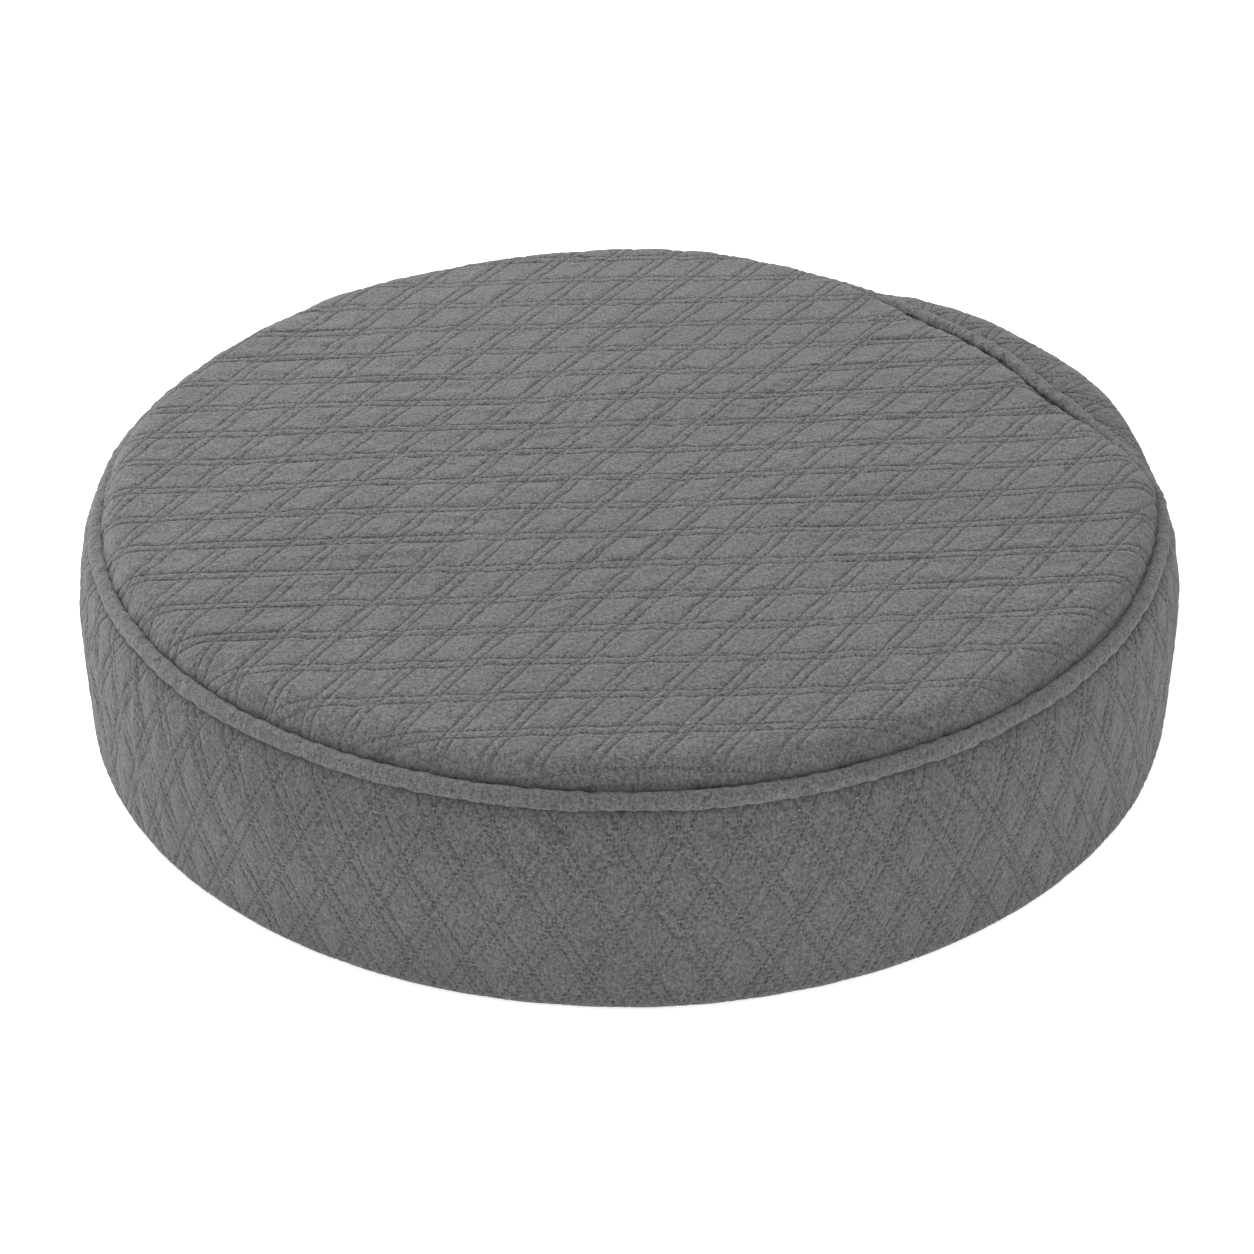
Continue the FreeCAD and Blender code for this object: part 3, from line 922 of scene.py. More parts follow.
# %% Make the top panel
def joined_disc(outer, inner, ratio):
    """Faces of a closed shell between a fine and a coarse square grid that share an edge.
    ratio is how many fine steps each coarse step spans."""
    fine, coarse = outer.shape[0], inner.shape[0]
    start = fine * fine
    fine_rim = rim_numbers(fine)
    coarse_rim = rim_numbers(coarse) + start
    spans = np.arange(ratio + 1) + ratio * np.arange(len(coarse_rim))[:, None]
    side = fine_rim[spans % len(fine_rim)]
    after = np.roll(coarse_rim, -1)[:, None]
    edge = np.concatenate([side[:, ::-1], coarse_rim[:, None], after], 1)
    faces = [grid_quads(fine, fine), grid_quads(coarse, coarse, start)[:, ::-1], edge]
    return np.concatenate([outer.reshape(-1, 3), inner.reshape(-1, 3)]), faces


top_ratio = 8
top_coarse = 72
top_count = top_ratio * (top_coarse - 1) + 1
top_points, _, top_marks = top_surface(*top_places(top_count))
under_x, under_y = top_places(top_coarse, 1.2)
under = np.stack([under_x, under_y, top_height(under_x, under_y) - 2.6], -1)
points, faces = joined_disc(top_points, under, top_ratio)
values = {label: np.concatenate([mark.ravel(), np.zeros(top_coarse**2)]) for label, mark in top_marks.items()}
top_panel = new_piece("top_face_quilted", points, faces, cover_cloth, "cover_fabric", values)
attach(top_panel, "pad")
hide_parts("top_face")

# %% [markdown]
# ## The side band
#
# The band is one outline carried round the pad. The outline is closed: up the outside
# and down the inside. The front band runs from one upright seam to the other. Behind the
# pad two narrower strips take its place, above and below the zip, each with a hem.


# %% Make the band pieces
def band_shell(name, first, last, low, high, step, node):
    """A band piece between two angles and two shares of the outline: the quilted outside
    and a plain inside, joined along all four edges."""
    around = int((last - first) * pad_radius / step) + 2
    up = int((high - low) * rolled_length / (step * 0.95)) + 2
    theta = np.linspace(first, last, around)[:, None]
    s = np.linspace(low, high, up)[None]
    outside, _, marks = band_surface(theta + 0 * s, s + 0 * theta, first, last, low, high)
    back_up = 12
    s = np.linspace(high, low, back_up)[None]
    tt, ss = theta + 0 * s, s + 0 * theta
    inset = 2.4 * ease(ss * rolled_length / 6) + 0.3
    inside = band_base(tt, ss) - band_normal(tt, ss) * inset[..., None]
    inside[..., 2] = np.maximum(inside[..., 2], 0.1)
    loop = np.concatenate([outside, inside], 1)
    size = up + back_up
    ends = np.stack([np.arange(size)[::-1], (around - 1) * size + np.arange(size)])
    faces = [grid_quads(around, size, wrap_columns=True), ends]
    hidden = np.zeros((around, back_up))
    values = {label: np.concatenate([mark, hidden], 1).ravel() for label, mark in marks.items()}
    piece = new_piece(name, loop.reshape(-1, 3), faces, shaded_band_cloth, "cover_fabric", values)
    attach(piece, "pad")
    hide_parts(node)
    return piece


band_step = 0.8
opening_half = 8.0


def share_at(height):
    """The share of the upright outline at a height."""
    return float(np.interp(height, upright_line[:, 1], np.linspace(0, 1, profile_steps)))


full_turn = 2 * math.pi
upper_range = (share_at(zip_height + opening_half), 1.0)
lower_range = (0.0, share_at(zip_height - opening_half))
band_shell("band_face_quilted", zip_end, zip_start + full_turn, 0.0, 1.0, band_step, "band_face")
band_shell("zip_strip_upper_quilted", zip_start, zip_end, *upper_range, band_step, "zip_strip_upper")
band_shell("zip_strip_lower_quilted", zip_start, zip_end, *lower_range, band_step, "zip_strip_lower")

# %% [markdown]
# ## Piping
#
# A bias strip is folded round a soft cord and caught in the seam. Its seam allowance
# points inwards. Because it is cut on the bias it twists a little and puckers where the
# seam is drawn in. A ring of points is carried round the seam's path to make it.

# %% Make the piping
piping_centre, drawn_piping = (193.65, 76.2), (173.2, 83.4)
piping_radius = (3.2, 2.8)
cord_radius = 2.2


def piping_path(theta):
    """Radius and height of the piping's middle, and the tube's own radius."""
    share = drawn_in(theta)
    wander = soft_noise(theta * pad_radius, 0, 45, 41) * mix(0.12, 0.5, share)
    radius, height = (mix(piping_centre[k], drawn_piping[k], share) for k in (0, 1))
    return radius + wander, height, mix(*piping_radius, share)


def piping_ring(theta, turn, size=None):
    """A point of the piping at an angle round the pad and a turn round its own middle,
    with puckers that wind round it as a bias strip's do."""
    radius, height, thick = piping_path(theta)
    along = theta * pad_radius
    share = drawn_in(theta)
    twist = np.sin(2 * math.pi * along / 6.5 + 1.6 * turn + 2 * soft_noise(along, 0, 40, 43))
    lumps = soft_noise(along, turn * 6, 9, 44)
    rolled = thick + twist * mix(0.12, 0.16, share) + lumps * mix(0.18, 0.22, share)
    rolled = rolled if size is None else size + 0 * rolled
    out, up = rolled * np.cos(turn), rolled * np.sin(turn)
    return np.stack([(radius + out) * np.cos(theta), (radius + out) * np.sin(theta), height + up], -1)


def swept_ring(sections):
    """Closed tubes carried once round the pad, each a grid of angle and section point."""
    points, faces, start = [], [], 0
    for section, outward in sections:
        rows, columns = section.shape[:2]
        quads = grid_quads(rows, columns, start, wrap_rows=True, wrap_columns=True)
        faces.append(quads if outward else quads[:, ::-1])
        points.append(section.reshape(-1, 3))
        start += rows * columns
    return np.concatenate(points), faces


def allowance_section(theta):
    """The cover's outline: round the cord, then a flat tail of two layers pointing in."""
    turn = np.radians(np.linspace(-123, 213, 30))[None]
    ring = piping_ring(theta, turn + 0 * theta)
    radius, height, thick = piping_path(theta)
    tail = []
    for side in (1, -1):
        reach = thick + 4.5
        out = reach * math.cos(math.radians(225)) - side * 0.45
        up = reach * math.sin(math.radians(225)) + side * 0.45
        across = radius + out
        place = np.concatenate([across * np.cos(theta), across * np.sin(theta), height + up + 0 * theta], 1)
        tail.append(place[:, None])
    return np.concatenate([ring, tail[0], tail[1]], 1)


piping_steps = 1300
theta = np.linspace(0, full_turn, piping_steps, endpoint=False)[:, None]
skin = allowance_section(theta)
hollow_turn = np.linspace(0, full_turn, 10, endpoint=False)[None] + 0 * theta
hollow = piping_ring(theta, hollow_turn, cord_radius + 0.1)
points, faces = swept_ring([(skin, True), (hollow, False)])
# Painted shade through the seam mask: the piping's outer underside, its inner side and the allowance are
# darkened.
ring_shade = np.full(skin.shape[:2], 0.0)
ring_shade[:, :3] = 0.6
ring_shade[:, -6:] = 1.3
values = np.concatenate([ring_shade.ravel(), np.zeros(hollow.shape[0] * hollow.shape[1])])
piping = new_piece("piping_bias_strip", points, faces, piping_cloth, "cover_fabric", {"seam": values})
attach(piping, "pad")
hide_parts("piping_cover")

# %% [markdown]
# ## Stitches
#
# Every row is sewn with thread of the cover's own grey. A stitch is a short bead that
# lies in the furrow, and it pulls its two ends down, so a row reads as a line of dots. A
# bead has eight faces, because there are thousands. The middle of each row has a formula,
# so all the stitches of a direction are worked out in one array.

# %% Make the stitches
stitch_half = (0.66, 0.24, 0.22)
bead_lift = 0.1


def beads(name, centres, along, normal, seed):
    """Eight-sided beads at many places, each stretched along its row."""
    rng = np.random.default_rng(seed)
    along = along / np.linalg.norm(along, axis=-1, keepdims=True)
    across = np.cross(normal, along)
    sway = rng.uniform(-0.18, 0.18, (len(centres), 1))
    along = along + across * sway
    size = rng.uniform(0.85, 1.15, (len(centres), 1))
    tips = [(along, 0), (across, 1), (normal, 2)]
    corners = [centres + sign * way * stitch_half[k] * size for way, k in tips for sign in (1, -1)]
    points = np.stack(corners, 1).reshape(-1, 3)
    eight = np.array([[0, 2, 4], [2, 1, 4], [1, 3, 4], [3, 0, 4], [2, 0, 5], [1, 2, 5], [3, 1, 5], [0, 3, 5]])
    faces = (eight[None] + 6 * np.arange(len(centres))[:, None, None]).reshape(-1, 3)
    piece = new_piece(name, points, [faces], thread_cloth, "cover_fabric")
    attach(piece, "pad")
    return piece


def line_numbers(low, high, pitch):
    """Row numbers of the two lines of each pair."""
    whole = np.arange(math.floor(low), math.ceil(high) + 1)[:, None]
    return np.concatenate([whole - pair_gap / 2 / pitch, whole + pair_gap / 2 / pitch])


def top_stitches():
    """Stitches of the level rows, where y is a function of x, and of the slanting rows,
    where x is a function of y. Both undo the row number's own formula. The extra
    width depends on the answer, so the working is repeated until it settles."""
    away = (line_numbers(-12, 12, top_pitch) + top_phase) * top_pitch
    flat = (1 - np.sqrt(np.maximum(1 - 4 * row_spread * away, 0))) / (2 * row_spread)
    level_x = np.arange(-top_crease[0], top_crease[0], stitch_pitch)[None] + 0 * flat
    level_y = flat + row_rise(level_x)
    number = line_numbers(-15, 15, slant_pitch)
    slant_y = np.arange(-top_crease[0], top_crease[0], stitch_pitch * math.sin(slant))[None] + 0 * number
    slant_x = number * slant_pitch
    for _ in range(6):
        away = (number + slant_phase + spare(slant_x, slant_y)) * slant_pitch
        across = away + (slant_y - fan / 2 * slant_y * slant_y) * math.cos(slant)
        slant_x = across / math.sin(slant) * (1 + fan * slant_y)
    return (level_x, level_y), (slant_x, slant_y)


def kept_beads(points, normal, keep):
    """Where the beads of rows lie: each row's direction is the step to its next stitch."""
    return (points + normal * bead_lift)[keep], np.gradient(points, axis=1)[keep], normal[keep]


found = []
for x, y in top_stitches():
    limit = crease_radius(np.arctan2(y, x)) - 2.0
    keep = np.hypot(x, y) < limit
    x, y = np.where(keep, x, 0), np.where(keep, y, 0)
    inner = keep & np.roll(keep, 1, 1) & np.roll(keep, -1, 1)
    points, normal, _ = top_surface(x, y)
    found.append(kept_beads(points, normal, inner))
beads("top_quilting_stitches", *(np.concatenate(part) for part in zip(*found)), 3)


def band_stitches(first, last, low, high):
    """Stitches of both steep rows of a band piece. Each row leans by the same amount as it
    climbs, so its angle is a function of the height."""
    found = []
    for lean in (1, -1):
        reach = np.arange(first_stitch, rolled_length, stitch_pitch * math.sin(steep))[None]
        span = pad_radius * math.sin(steep) / band_pitch
        number = line_numbers(first * span - 4, last * span + 4, band_pitch)
        across = (number * band_pitch + lean * reach * math.cos(steep)) / math.sin(steep)
        theta = across / pad_radius
        s = reach / band_length(theta)
        side = np.minimum(theta - first, last - theta) * pad_radius
        edges = np.minimum(s - low, high - s) * upright_length
        keep = (side > 2) & (edges > 2)
        theta, s = np.where(keep, theta, (first + last) / 2), np.where(keep, s, (low + high) / 2)
        points, normal, _ = band_surface(theta, s, first, last, low, high)
        inner = keep & np.roll(keep, 1, 1) & np.roll(keep, -1, 1)
        found.append(kept_beads(points, normal, inner))
    return [np.concatenate(part) for part in zip(*found)]


beads("band_quilting_stitches", *band_stitches(zip_end, zip_start + full_turn, 0.0, 1.0), 4)
strip_rows = [band_stitches(zip_start, zip_end, *limits) for limits in (upper_range, lower_range)]
beads("strip_quilting_stitches", *(np.concatenate(part) for part in zip(*strip_rows)), 5)

# %% [markdown]
# ## Inside the cover
#
# Behind each quilted panel lie polyester wadding and a thin backing scrim, sewn through
# with it. They follow the same outline at a depth, and the same settling, so they stay
# under the cover where it is drawn in. Nobody sees them, so their grids are coarse.


# %% Materials of the inside
def soft_material(name, first, last, scale, bump, roughness=0.95):
    """A matt soft material: two close colours in flecks of a scale, and bumps to match."""
    material, tree, shader, vector = new_material(name, roughness)
    shader.inputs["Specular IOR Level"].default_value = 0.2
    flecks = noise(tree, vector, scale, 3, 0.6)
    tree.links.new(ramp(tree, flecks, 0.35, 0.65, first, last), shader.inputs["Base Color"])
    link_bump(tree, shader, flecks, bump)
    return material


wadding_fibre = soft_material("wadding_fibre", (0.72, 0.72, 0.70, 1), (0.86, 0.86, 0.85, 1), 420, 0.8)
backing_scrim = soft_material("backing_scrim", (0.30, 0.30, 0.31, 1), (0.40, 0.40, 0.41, 1), 900, 0.2)
liner_fleece = soft_material("liner_fleece", (0.78, 0.78, 0.78, 1), (0.88, 0.88, 0.88, 1), 700, 0.2)
comfort_foam = soft_material("comfort_foam_cells", (0.72, 0.68, 0.55, 1), (0.82, 0.79, 0.67, 1), 800, 0.5)
support_foam = soft_material("support_foam_cells", (0.24, 0.27, 0.31, 1), (0.34, 0.37, 0.41, 1), 650, 0.6)
cord_cotton = soft_material("cord_cotton", (0.70, 0.67, 0.60, 1), (0.84, 0.81, 0.74, 1), 1100, 0.3)


# %% Layers of the top
def top_depth(count, depth, inset):
    """The top's outline at a depth below it, with the settling, on a square grid."""
    x, y = top_places(count, inset)
    base = np.stack([x, y, top_height(x, y)], -1)
    return base - top_normal(x, y) * depth + top_movement(x, y)


def top_layer(name, node, material, slot, outside, inside, inset):
    """A closed layer of the top between two depths."""
    points, faces = joined_disc(top_depth(56, outside, inset), top_depth(56, inside, inset), 1)
    piece = new_piece(name, points, faces, material, slot)
    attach(piece, "pad")
    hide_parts(node)
    return piece


top_layer("top_wadding_sheet", "top_wadding", wadding_fibre, "wadding", 3.0, 5.6, 8.0)
top_scrim = top_layer("top_backing_scrim", "top_backing", backing_scrim, "backing", 5.7, 6.0, 9.0)


# %% Layers of the band
def band_layer_shell(first, last, low, high, outside, inside):
    """Points and faces of a closed layer of the band between two depths."""
    around, up = int((last - first) * pad_radius / 6), max(int((high - low) * upright_length / 5), 4)
    theta = np.linspace(first, last, around)[:, None]
    share = np.linspace(low, high, up)
    sides = []
    for s, depth in ((share, outside), (share[::-1], inside)):
        tt, ss = np.broadcast_arrays(theta, s[None])
        sides.append(band_base(tt, ss) - band_normal(tt, ss) * depth + band_movement(tt, ss))
    loop = np.concatenate(sides, 1)
    size = 2 * up
    ends = np.stack([np.arange(size)[::-1], (around - 1) * size + np.arange(size)])
    return loop.reshape(-1, 3), [grid_quads(around, size, wrap_columns=True), ends]


def joined(shells):
    """Several closed shells in one set of points and faces."""
    points, faces, start = [], [], 0
    for shell_points, shell_faces in shells:
        points.append(shell_points)
        faces.extend(part + start for part in shell_faces)
        start += len(shell_points)
    return np.concatenate(points), faces


def band_layer(name, node, material, slot, ranges, outside, inside):
    """A closed layer of the band, in one or more parts, each a range of angle and outline."""
    shells = [band_layer_shell(*limits, outside, inside) for limits in ranges]
    piece = new_piece(name, *joined(shells), material, slot)
    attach(piece, "pad")
    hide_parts(node)
    return piece


lining_low, lining_high = share_at(8.0), 0.86
hem_half = 18.0
front_range = [(zip_end + 0.01, zip_start + full_turn - 0.01, lining_low, lining_high)]
strip_ranges = [
    (zip_start + 0.01, zip_end - 0.01, share_at(zip_height + hem_half + 1), lining_high),
    (zip_start + 0.01, zip_end - 0.01, lining_low, share_at(zip_height - hem_half - 1)),
]
band_layer("band_wadding_sheet", "band_wadding", wadding_fibre, "wadding", front_range, 3.0, 6.2)
band_scrim = band_layer("band_backing_scrim", "band_backing", backing_scrim, "backing", front_range, 6.3, 6.6)
band_layer("strip_wadding_sheet", "zip_strip_wadding", wadding_fibre, "wadding", strip_ranges, 3.0, 6.2)
strip_scrim = band_layer(
    "strip_backing_scrim", "zip_strip_backing", backing_scrim, "backing", strip_ranges, 6.3, 6.6
)

# %% Piping cord
turn = np.linspace(0, full_turn, 24, endpoint=False)[None]
strands = cord_radius - 0.35 + 0.3 * np.abs(np.cos(1.5 * (turn - theta * pad_radius / 9)))
points, faces = swept_ring([(piping_ring(theta, turn + 0 * theta, strands), True)])
cord = new_piece("piping_cord_twist", points, faces, cord_cotton, "piping_cord")
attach(cord, "pad")
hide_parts("piping_cord")

# %% [markdown]
# ## The foam
#
# Two foams are glued together: a firm one below and a softer one above, in a thin fleece
# liner that lets the cover slide on. Each is a block turned from an outline. A square grid
# drawn onto the disc makes its upper skin, and another its lower skin, and the two meet
# at the rim.


# %% Turned blocks
def turned_skin(outline, count):
    """A skin turned from an outline of radius and height, which runs from the middle out.
    The distance from a grid's middle picks the place on the outline."""
    line = np.linspace(-1, 1, count)
    x, y = square_to_disc(*np.meshgrid(line, line, indexing="ij"))
    even, _ = even_steps(np.array(outline, float), 200)
    rho, theta = np.hypot(x, y), np.arctan2(y, x)
    radius, height = (np.interp(rho, np.linspace(0, 1, 200), even[:, k]) for k in (0, 1))
    return np.stack([radius * np.cos(theta), radius * np.sin(theta), height], -1)


def turned_block(upper, lower, count=48):
    return joined_disc(turned_skin(upper, count), turned_skin(lower, count), 1)


def foam_outline(depth, side, low):
    """A crowned cushion's outline: nearly flat, then a round shoulder down to its side."""
    top = pad_height - depth
    shoulder = 38.0
    crown = [(0, top), (80, top - 0.3), (side - shoulder, top - 1.5)]
    round_edge = arc((side - shoulder, top - 1.5 - shoulder), shoulder, 90, 0)
    return np.vstack([crown, round_edge, [(side, low)]])


def core_piece(name, node, shell, material, slot):
    piece = new_piece(name, *shell, material, slot)
    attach(piece, "pad")
    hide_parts(node)
    return piece


foam_joint = node_size("support_foam")[1][2]
foam_floor = base_thickness + 1.6
foam_side = pad_radius - 9.5
foam_depth = 8.6
whole = foam_outline(foam_depth, foam_side, foam_joint + 0.2)
cut = whole[whole[:, 1] > foam_joint]
cut = np.vstack([cut, [(np.interp(-foam_joint, -whole[:, 1], whole[:, 0]), foam_joint + 0.2)]])
upper_foam = turned_block(cut, [(0, foam_joint), (cut[-1, 0], foam_joint)])
core_piece("comfort_foam_block", "comfort_foam", upper_foam, comfort_foam, "foam")
joint_rim = [
    (0, foam_joint - 0.1),
    (cut[-1, 0], foam_joint - 0.1),
    (foam_side, 40.0),
    (foam_side, foam_floor + 1),
]
lower_foam = turned_block(joint_rim, [(0, foam_floor), (foam_side - 1, foam_floor)])
core_piece("support_foam_block", "support_foam", lower_foam, support_foam, "foam")

def turned_area(outline):
    """Area of a skin turned from an outline: each step's length, times the length of the
    circle that its middle runs on. In square metres."""
    outline = np.array(outline, float)
    steps = np.hypot(*np.diff(outline, axis=0).T)
    return float(np.sum(steps * math.pi * (outline[1:, 0] + outline[:-1, 0]))) / 1e6


liner_skins, liner_area = [], 0.0
for grow in (0.9, 0.4):
    upper = foam_outline(foam_depth - grow, foam_side + grow, 20.0)
    lower = [(0, foam_floor - grow), (foam_side + grow - 1, foam_floor - grow), (foam_side + grow, 19.0)]
    liner_skins.append(turned_block(upper, lower, 56))
    liner_area += (turned_area(upper) + turned_area(lower)) / 2
inner_points, inner_faces = liner_skins[1]
liner_skins[1] = (inner_points, [part[:, ::-1] for part in inner_faces])
liner = core_piece("foam_liner_fleece", "foam_liner", joined(liner_skins), liner_fleece, "liner")
print(f"liner: {liner_area:.3f} square metres")

# %% [markdown]
# ## The underside
#
# The pad stands on a plain woven panel with round rubber dots printed on it, so that it
# doesn't slide. The dots are low domes on a triangular grid, and they alone touch the
# ground.


# %% Underside materials
def make_weave():
    """A plain weave: two sets of ridges at right angles that pass over each other in turn,
    from two sine waves and their product."""
    group, entry, result = new_group(
        "plain_weave",
        [("Vector", "NodeSocketVector", None), ("Threads", "NodeSocketFloat", 900.0)],
        [("Height", "NodeSocketFloat"), ("Color", "NodeSocketColor")],
    )
    split = add_node(group, "ShaderNodeSeparateXYZ")
    group.links.new(entry.outputs["Vector"], split.inputs[0])
    waves = []
    for axis in (0, 1):
        phase = calculate(group, "MULTIPLY", split.outputs[axis], entry.outputs["Threads"])
        waves.append(calculate(group, "SINE", calculate(group, "MULTIPLY", phase, math.pi), 0.0))
    over = calculate(group, "MULTIPLY", waves[0], waves[1])
    height = calculate(group, "ADD", calculate(group, "MULTIPLY", over, 0.5), 0.5)
    group.links.new(height, result.inputs["Height"])
    # The colour is painted shade: darker where the height is low, between the threads.
    group.links.new(ramp(group, height, 0.2, 0.9, (0.45, 0.45, 0.45, 1)), result.inputs["Color"])
    return group


weave_group = make_weave()


def woven_material(name, colour, threads, bump):
    """A woven cloth of one colour, with painted shade between its threads."""
    material, tree, shader, vector = new_material(name, 0.85)
    weave = place_group(tree, weave_group, vector, Threads=threads)
    lighter = tuple(1.25 * c for c in colour[:3]) + (1,)
    flecks = ramp(tree, noise(tree, vector, 300), 0.3, 0.7, colour, lighter)
    shaded = mix_colour(tree, 1.0, flecks, weave.outputs["Color"], "MULTIPLY")
    tree.links.new(shaded, shader.inputs["Base Color"])
    link_bump(tree, shader, weave.outputs["Height"], bump)
    return material


base_cloth = woven_material("base_cloth", (0.055, 0.056, 0.058, 1), 900.0, 0.25)
tape_cloth = woven_material("zip_tape_cloth", (0.10, 0.101, 0.102, 1), 1400.0, 0.15)
rubber = soft_material("grip_rubber", (0.018, 0.018, 0.019, 1), (0.032, 0.032, 0.034, 1), 500, 0.12, 0.6)

# %% Base panel and grip dots
base_radius = pad_radius - foot_round - 0.1
base_low = 0.45
edge_round = 0.4
base_flat = base_radius - edge_round
base_upper = [(0, base_thickness), (base_flat, base_thickness), (base_radius, base_thickness - edge_round)]
base_lower = [(0, base_low), (base_flat, base_low), (base_radius, base_low + edge_round)]
base_block = turned_block(base_upper, base_lower, 90)
base = core_piece("base_panel_cloth", "base_panel", base_block, base_cloth, "base_fabric")

dot_spacing = 30.0
dot_field = 186.0
dot_outline = [(3.5, 0.6), (3.4, 0.3), (2.6, 0.08), (1.4, 0.03)]


def dot_places():
    """Centres of the dots: rows an equilateral triangle's height apart, every other row
    shifted by half a step, inside a circle."""
    row_step = dot_spacing * math.sqrt(3) / 2
    row = np.arange(-int(dot_field / row_step), int(dot_field / row_step) + 1)[:, None]
    column = np.arange(-7, 8)[None]
    x = column * dot_spacing + dot_spacing / 2 * (row % 2)
    y = row * row_step + 0 * column
    inside = np.hypot(x, y) <= dot_field
    return np.stack([x[inside], y[inside]], -1)


def dots():
    """Low domes: rings of twelve points from the dot's outline, with a flat face closing
    each end."""
    places, sides = dot_places(), 12
    turn = np.arange(sides) * full_turn / sides
    outline = np.array(dot_outline)
    ring = outline[:, :1, None] * np.stack([np.cos(turn), np.sin(turn)], 0)[None]
    rise = np.broadcast_to(outline[:, 1, None, None], (len(outline), 1, sides))
    dome = np.concatenate([ring, rise], 1).transpose(0, 2, 1).reshape(-1, 3)
    centre = np.concatenate([places, np.zeros((len(places), 1))], 1)
    points = (centre[:, None] + dome[None]).reshape(-1, 3)
    shift = len(dome) * np.arange(len(places))[:, None, None]
    sleeve = grid_quads(len(outline), sides, wrap_columns=True)
    caps = np.stack([np.arange(sides), (len(outline) - 1) * sides + np.arange(sides)[::-1]])
    return points, [(part[None] + shift).reshape(-1, part.shape[1]) for part in (sleeve, caps)]


core_piece("grip_dot_domes", "grip_dots", dots(), rubber, "grip_dots")
print("grip dots:", len(dot_places()))

# %% [markdown]
# ## The zip
#
# A nylon coil zip lies in the opening between the two strips. Its teeth are the turns of
# two coiled monofilaments, one along each tape, so they are made as real coils: a ring of
# points carried along a flattened helix that bends round the pad. The tapes, the stops,
# the slider and its pull keep the design's own shapes, and get their finishes here.


# %% Zip coils
coil_middle = (199.25, 2.05)
coil_half = (0.78, 1.15)
wire_radius = 0.26
turn_pitch = 1.3


def zip_coil(name, node, side):
    """A monofilament coil: the wire's middle turns on an ellipse while it travels round the
    pad, and a six-sided ring is carried along it, square to its path."""
    first, last = coil_ends
    turns = (last - first) * coil_middle[0] / turn_pitch
    steps = int(turns * 10)
    share = np.linspace(0, 1, steps)
    theta, spin = mix(first, last, share), share * turns * full_turn
    radius = coil_middle[0] + coil_half[0] * np.cos(spin)
    height = zip_height + side * (coil_middle[1] - coil_half[1] * np.sin(spin))
    line = np.stack([radius * np.cos(theta), radius * np.sin(theta), height], -1)
    forward = np.gradient(line, axis=0)
    forward /= np.linalg.norm(forward, axis=-1, keepdims=True)
    around = np.stack([-np.sin(theta), np.cos(theta), 0 * theta], -1)
    first_side = np.cross(forward, around)
    first_side /= np.linalg.norm(first_side, axis=-1, keepdims=True)
    second_side = np.cross(forward, first_side)
    turn = np.arange(6)[None, :, None] * full_turn / 6
    ring = np.cos(turn) * first_side[:, None] + np.sin(turn) * second_side[:, None]
    points = (line[:, None] + wire_radius * ring).reshape(-1, 3)
    ends = np.stack([np.arange(6)[::-1], (steps - 1) * 6 + np.arange(6)])
    faces = [grid_quads(steps, 6, wrap_columns=True), ends]
    return core_piece(name, node, (points, faces), nylon, "zip_coil")


def node_angles(node):
    """The first and last angle that a node round the pad's back covers."""
    co = np.array([v.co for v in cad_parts[node].data.vertices])
    angle = np.arctan2(co[:, 1], co[:, 0])
    return angle.min(), angle.max()


nylon = soft_material("zip_nylon", (0.075, 0.076, 0.078, 1), (0.105, 0.106, 0.108, 1), 200, 0.05, 0.38)
coil_ends = node_angles("zip_coil_upper")
zip_coil("zip_coil_upper_loops", "zip_coil_upper", 1)
zip_coil("zip_coil_lower_loops", "zip_coil_lower", -1)


# %% Zip end tabs
def tab_shell(first, last, low, high, outer, inner):
    """A folded cloth tab: a patch bent round the pad, thinner towards its edges."""
    around, up = 14, 16
    theta = np.linspace(first, last, around)[:, None]
    height = np.linspace(low, high, up)[None]
    across, along = np.linspace(-1, 1, up)[None], np.linspace(-1, 1, around)[:, None]
    swell = (1 - across**6) * (1 - along**6)
    ridge = 0.12 * soft_noise(theta * pad_radius, height, 4, 61)
    outside = mix(inner + 0.3, outer - 0.1, swell) + ridge * swell
    inside = inner + 0 * swell
    sides = [(outside, height), (inside[:, ::-1], height[:, ::-1])]
    loop = [np.stack([r * np.cos(theta), r * np.sin(theta), z + 0 * r], -1) for r, z in sides]
    size = 2 * up
    ends = np.stack([np.arange(size)[::-1], (around - 1) * size + np.arange(size)])
    return np.concatenate(loop, 1).reshape(-1, 3), [grid_quads(around, size, wrap_columns=True), ends]


def make_end_tabs():
    """Two tabs, over the first and the last few degrees of the zip, as the design has them."""
    co = np.array([v.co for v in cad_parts["zip_end_tabs"].data.vertices]) * 1000
    angle, radius = np.arctan2(co[:, 1], co[:, 0]), np.hypot(co[:, 0], co[:, 1])
    shells = []
    for part in (angle < math.radians(125), angle > math.radians(125)):
        lows, highs = ((f(angle[part]), f(co[part, 2]), f(radius[part])) for f in (np.min, np.max))
        shells.append(tab_shell(lows[0], highs[0], lows[1], highs[1], highs[2], lows[2]))
    return joined(shells)


core_piece("zip_end_tab_folds", "zip_end_tabs", make_end_tabs(), plain_cloth, "zip_tape")


# %% Zip metal
def make_metal():
    """Brushed nickel: fine scratches in its roughness, and a warm dull wear on patches."""
    material, tree, shader, vector = new_material("zip_nickel", 0.3, 1.0)
    scratches = noise(tree, vector, 900, 3, 0.6, (1, 1, 8))
    patches = noise(tree, vector, 160, 2)
    worn = ramp(tree, patches, 0.3, 0.75, (0.30, 0.30, 0.31, 1), (0.45, 0.44, 0.43, 1))
    tree.links.new(worn, shader.inputs["Base Color"])
    rough = calculate(tree, "ADD", calculate(tree, "MULTIPLY", scratches, 0.3), 0.17)
    tree.links.new(rough, shader.inputs["Roughness"])
    link_bump(tree, shader, scratches, 0.03)
    return material


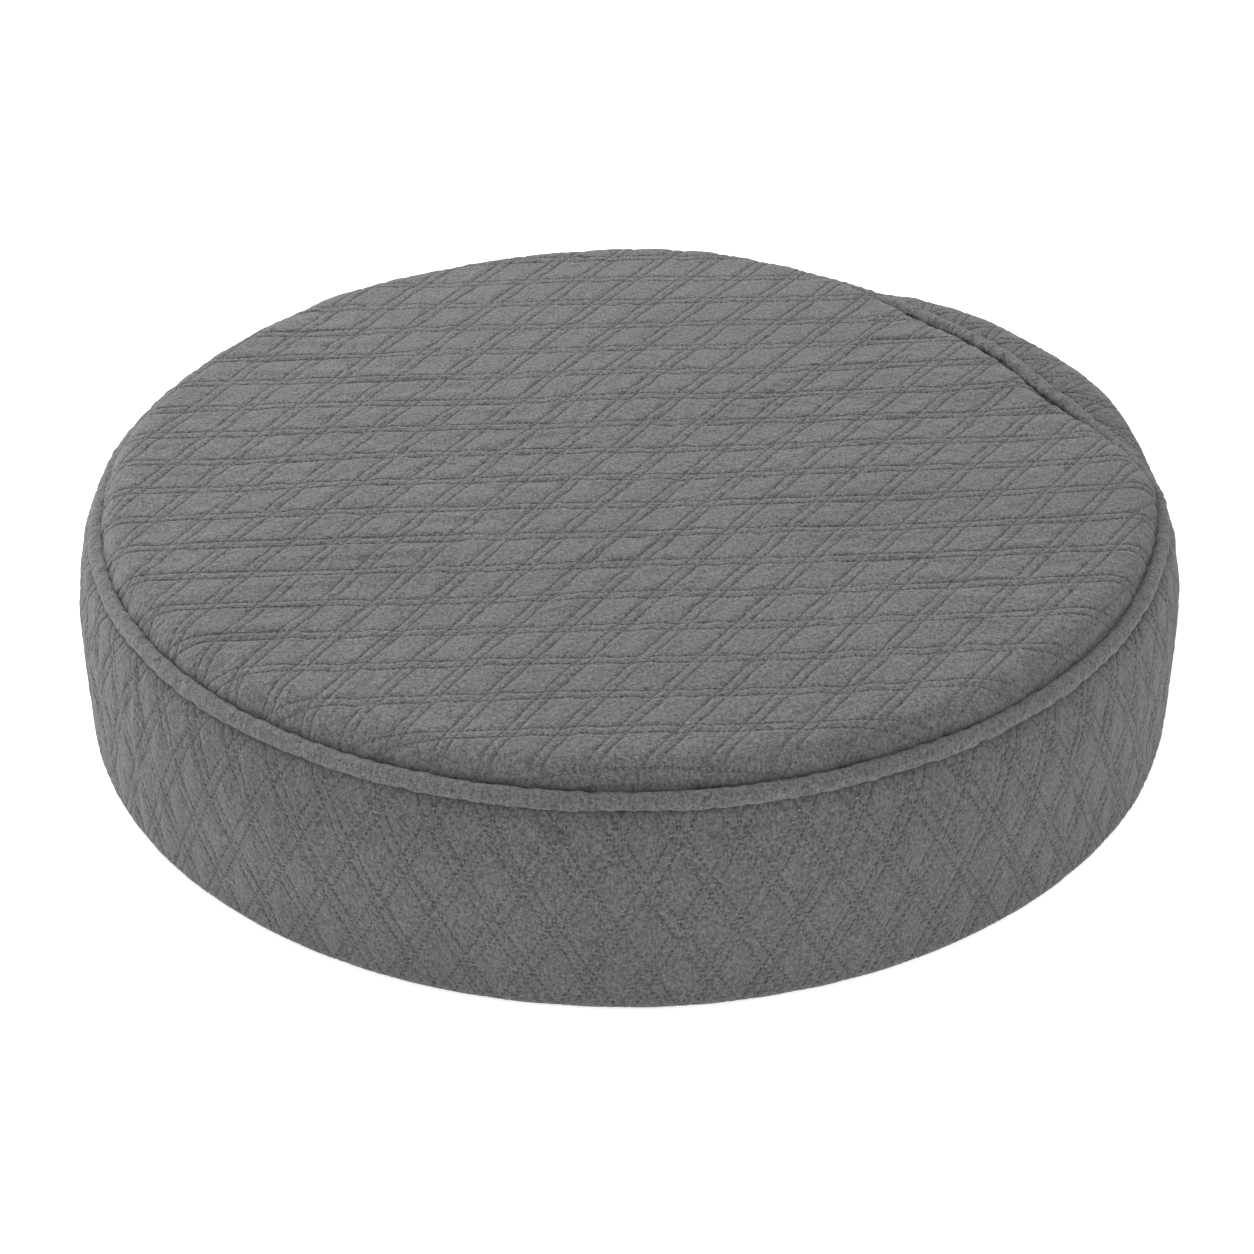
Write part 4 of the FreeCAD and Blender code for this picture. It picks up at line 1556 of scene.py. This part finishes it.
def finish_node(node, material):
    """Gives a node of the design its finish, in place of the plain one."""
    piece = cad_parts[node]
    piece.data.materials.clear()
    piece.data.materials.append(material)


nickel = make_metal()
for node in ("zip_slider", "zip_pull", "zip_closed_stops", "zip_open_stop"):
    finish_node(node, nickel)
for node in ("zip_tape_upper", "zip_tape_lower"):
    finish_node(node, tape_cloth)

# %% [markdown]
# ## Camera, floor and light
#
# The pad stands on a plain white floor under a large soft light from the upper left, so
# each furrow has a light side and a dark side. A wider and weaker light in front keeps
# the band from going dark. The room itself is a pale dome.


# %% Camera
sensor_width = 36.0
focal_length, frame_width = 2500, 1254


def add_camera():
    """A camera that looks at a point from a distance, an elevation and a small roll."""
    target, distance = np.array([-0.0009, 0.0, 0.0139]), 0.9592
    elevation, roll = math.radians(33.10), -0.01085
    back = np.array([0, -math.cos(elevation), math.sin(elevation)])
    right = np.array([1.0, 0, 0])
    up = np.cross(back, right)
    turned_right = math.cos(roll) * right + math.sin(roll) * up
    turned_up = -math.sin(roll) * right + math.cos(roll) * up
    data = bpy.data.cameras.new("camera")
    data.sensor_width = sensor_width
    data.lens = sensor_width * focal_length / frame_width
    camera = bpy.data.objects.new("camera", data)
    bpy.context.scene.collection.objects.link(camera)
    matrix = np.eye(4)
    matrix[:3, 0], matrix[:3, 1], matrix[:3, 2] = turned_right, turned_up, back
    matrix[:3, 3] = target + back * distance
    camera.matrix_world = Matrix(matrix.tolist())
    bpy.context.scene.camera = camera


add_camera()


# %% Floor and light
floor_glow = 0.6
room_glow = 0.7


def add_light(name, place, size, power, aim=(0, 0, 0.04)):
    """A square area light at a place, turned to face a point."""
    data = bpy.data.lights.new(name, "AREA")
    data.size, data.energy = size, power
    light = bpy.data.objects.new(name, data)
    bpy.context.scene.collection.objects.link(light)
    back = np.array(place) - np.array(aim)
    back = back / np.linalg.norm(back)
    side = np.cross((0, 0, 1), back)
    side = side / np.linalg.norm(side)
    matrix = np.eye(4)
    matrix[:3, 0], matrix[:3, 1], matrix[:3, 2], matrix[:3, 3] = side, np.cross(back, side), back, place
    light.matrix_world = Matrix(matrix.tolist())


def add_floor():
    """A wide white floor that glows faintly, as a lit studio sweep does."""
    material, tree, shader, vector = new_material("studio_floor", 0.9)
    colour = ramp(tree, noise(tree, vector, 3.0), 0.3, 0.7, (0.86, 0.86, 0.86, 1), (0.88, 0.88, 0.88, 1))
    tree.links.new(colour, shader.inputs["Base Color"])
    shader.inputs["Emission Color"].default_value = (1, 1, 1, 1)
    shader.inputs["Emission Strength"].default_value = floor_glow
    mesh = bpy.data.meshes.new("floor")
    half = 40.0
    corners = [(-half, -half, 0), (half, -half, 0), (half, half, 0), (-half, half, 0)]
    mesh.from_pydata(corners, [], [(0, 1, 2, 3)])
    mesh.materials.append(material)
    floor = bpy.data.objects.new("floor", mesh)
    bpy.context.scene.collection.objects.link(floor)


add_floor()
add_light("key_light", (-0.85, 0.95, 1.25), size=0.9, power=30)
add_light("front_fill", (0.15, -1.7, 1.1), size=1.6, power=10)
world = bpy.data.worlds.new("studio")
bpy.context.scene.world = world
world.use_nodes = True
world.node_tree.nodes["Background"].inputs["Color"].default_value = (1, 1, 1, 1)
world.node_tree.nodes["Background"].inputs["Strength"].default_value = room_glow
bpy.context.scene.view_settings.view_transform = "Standard"
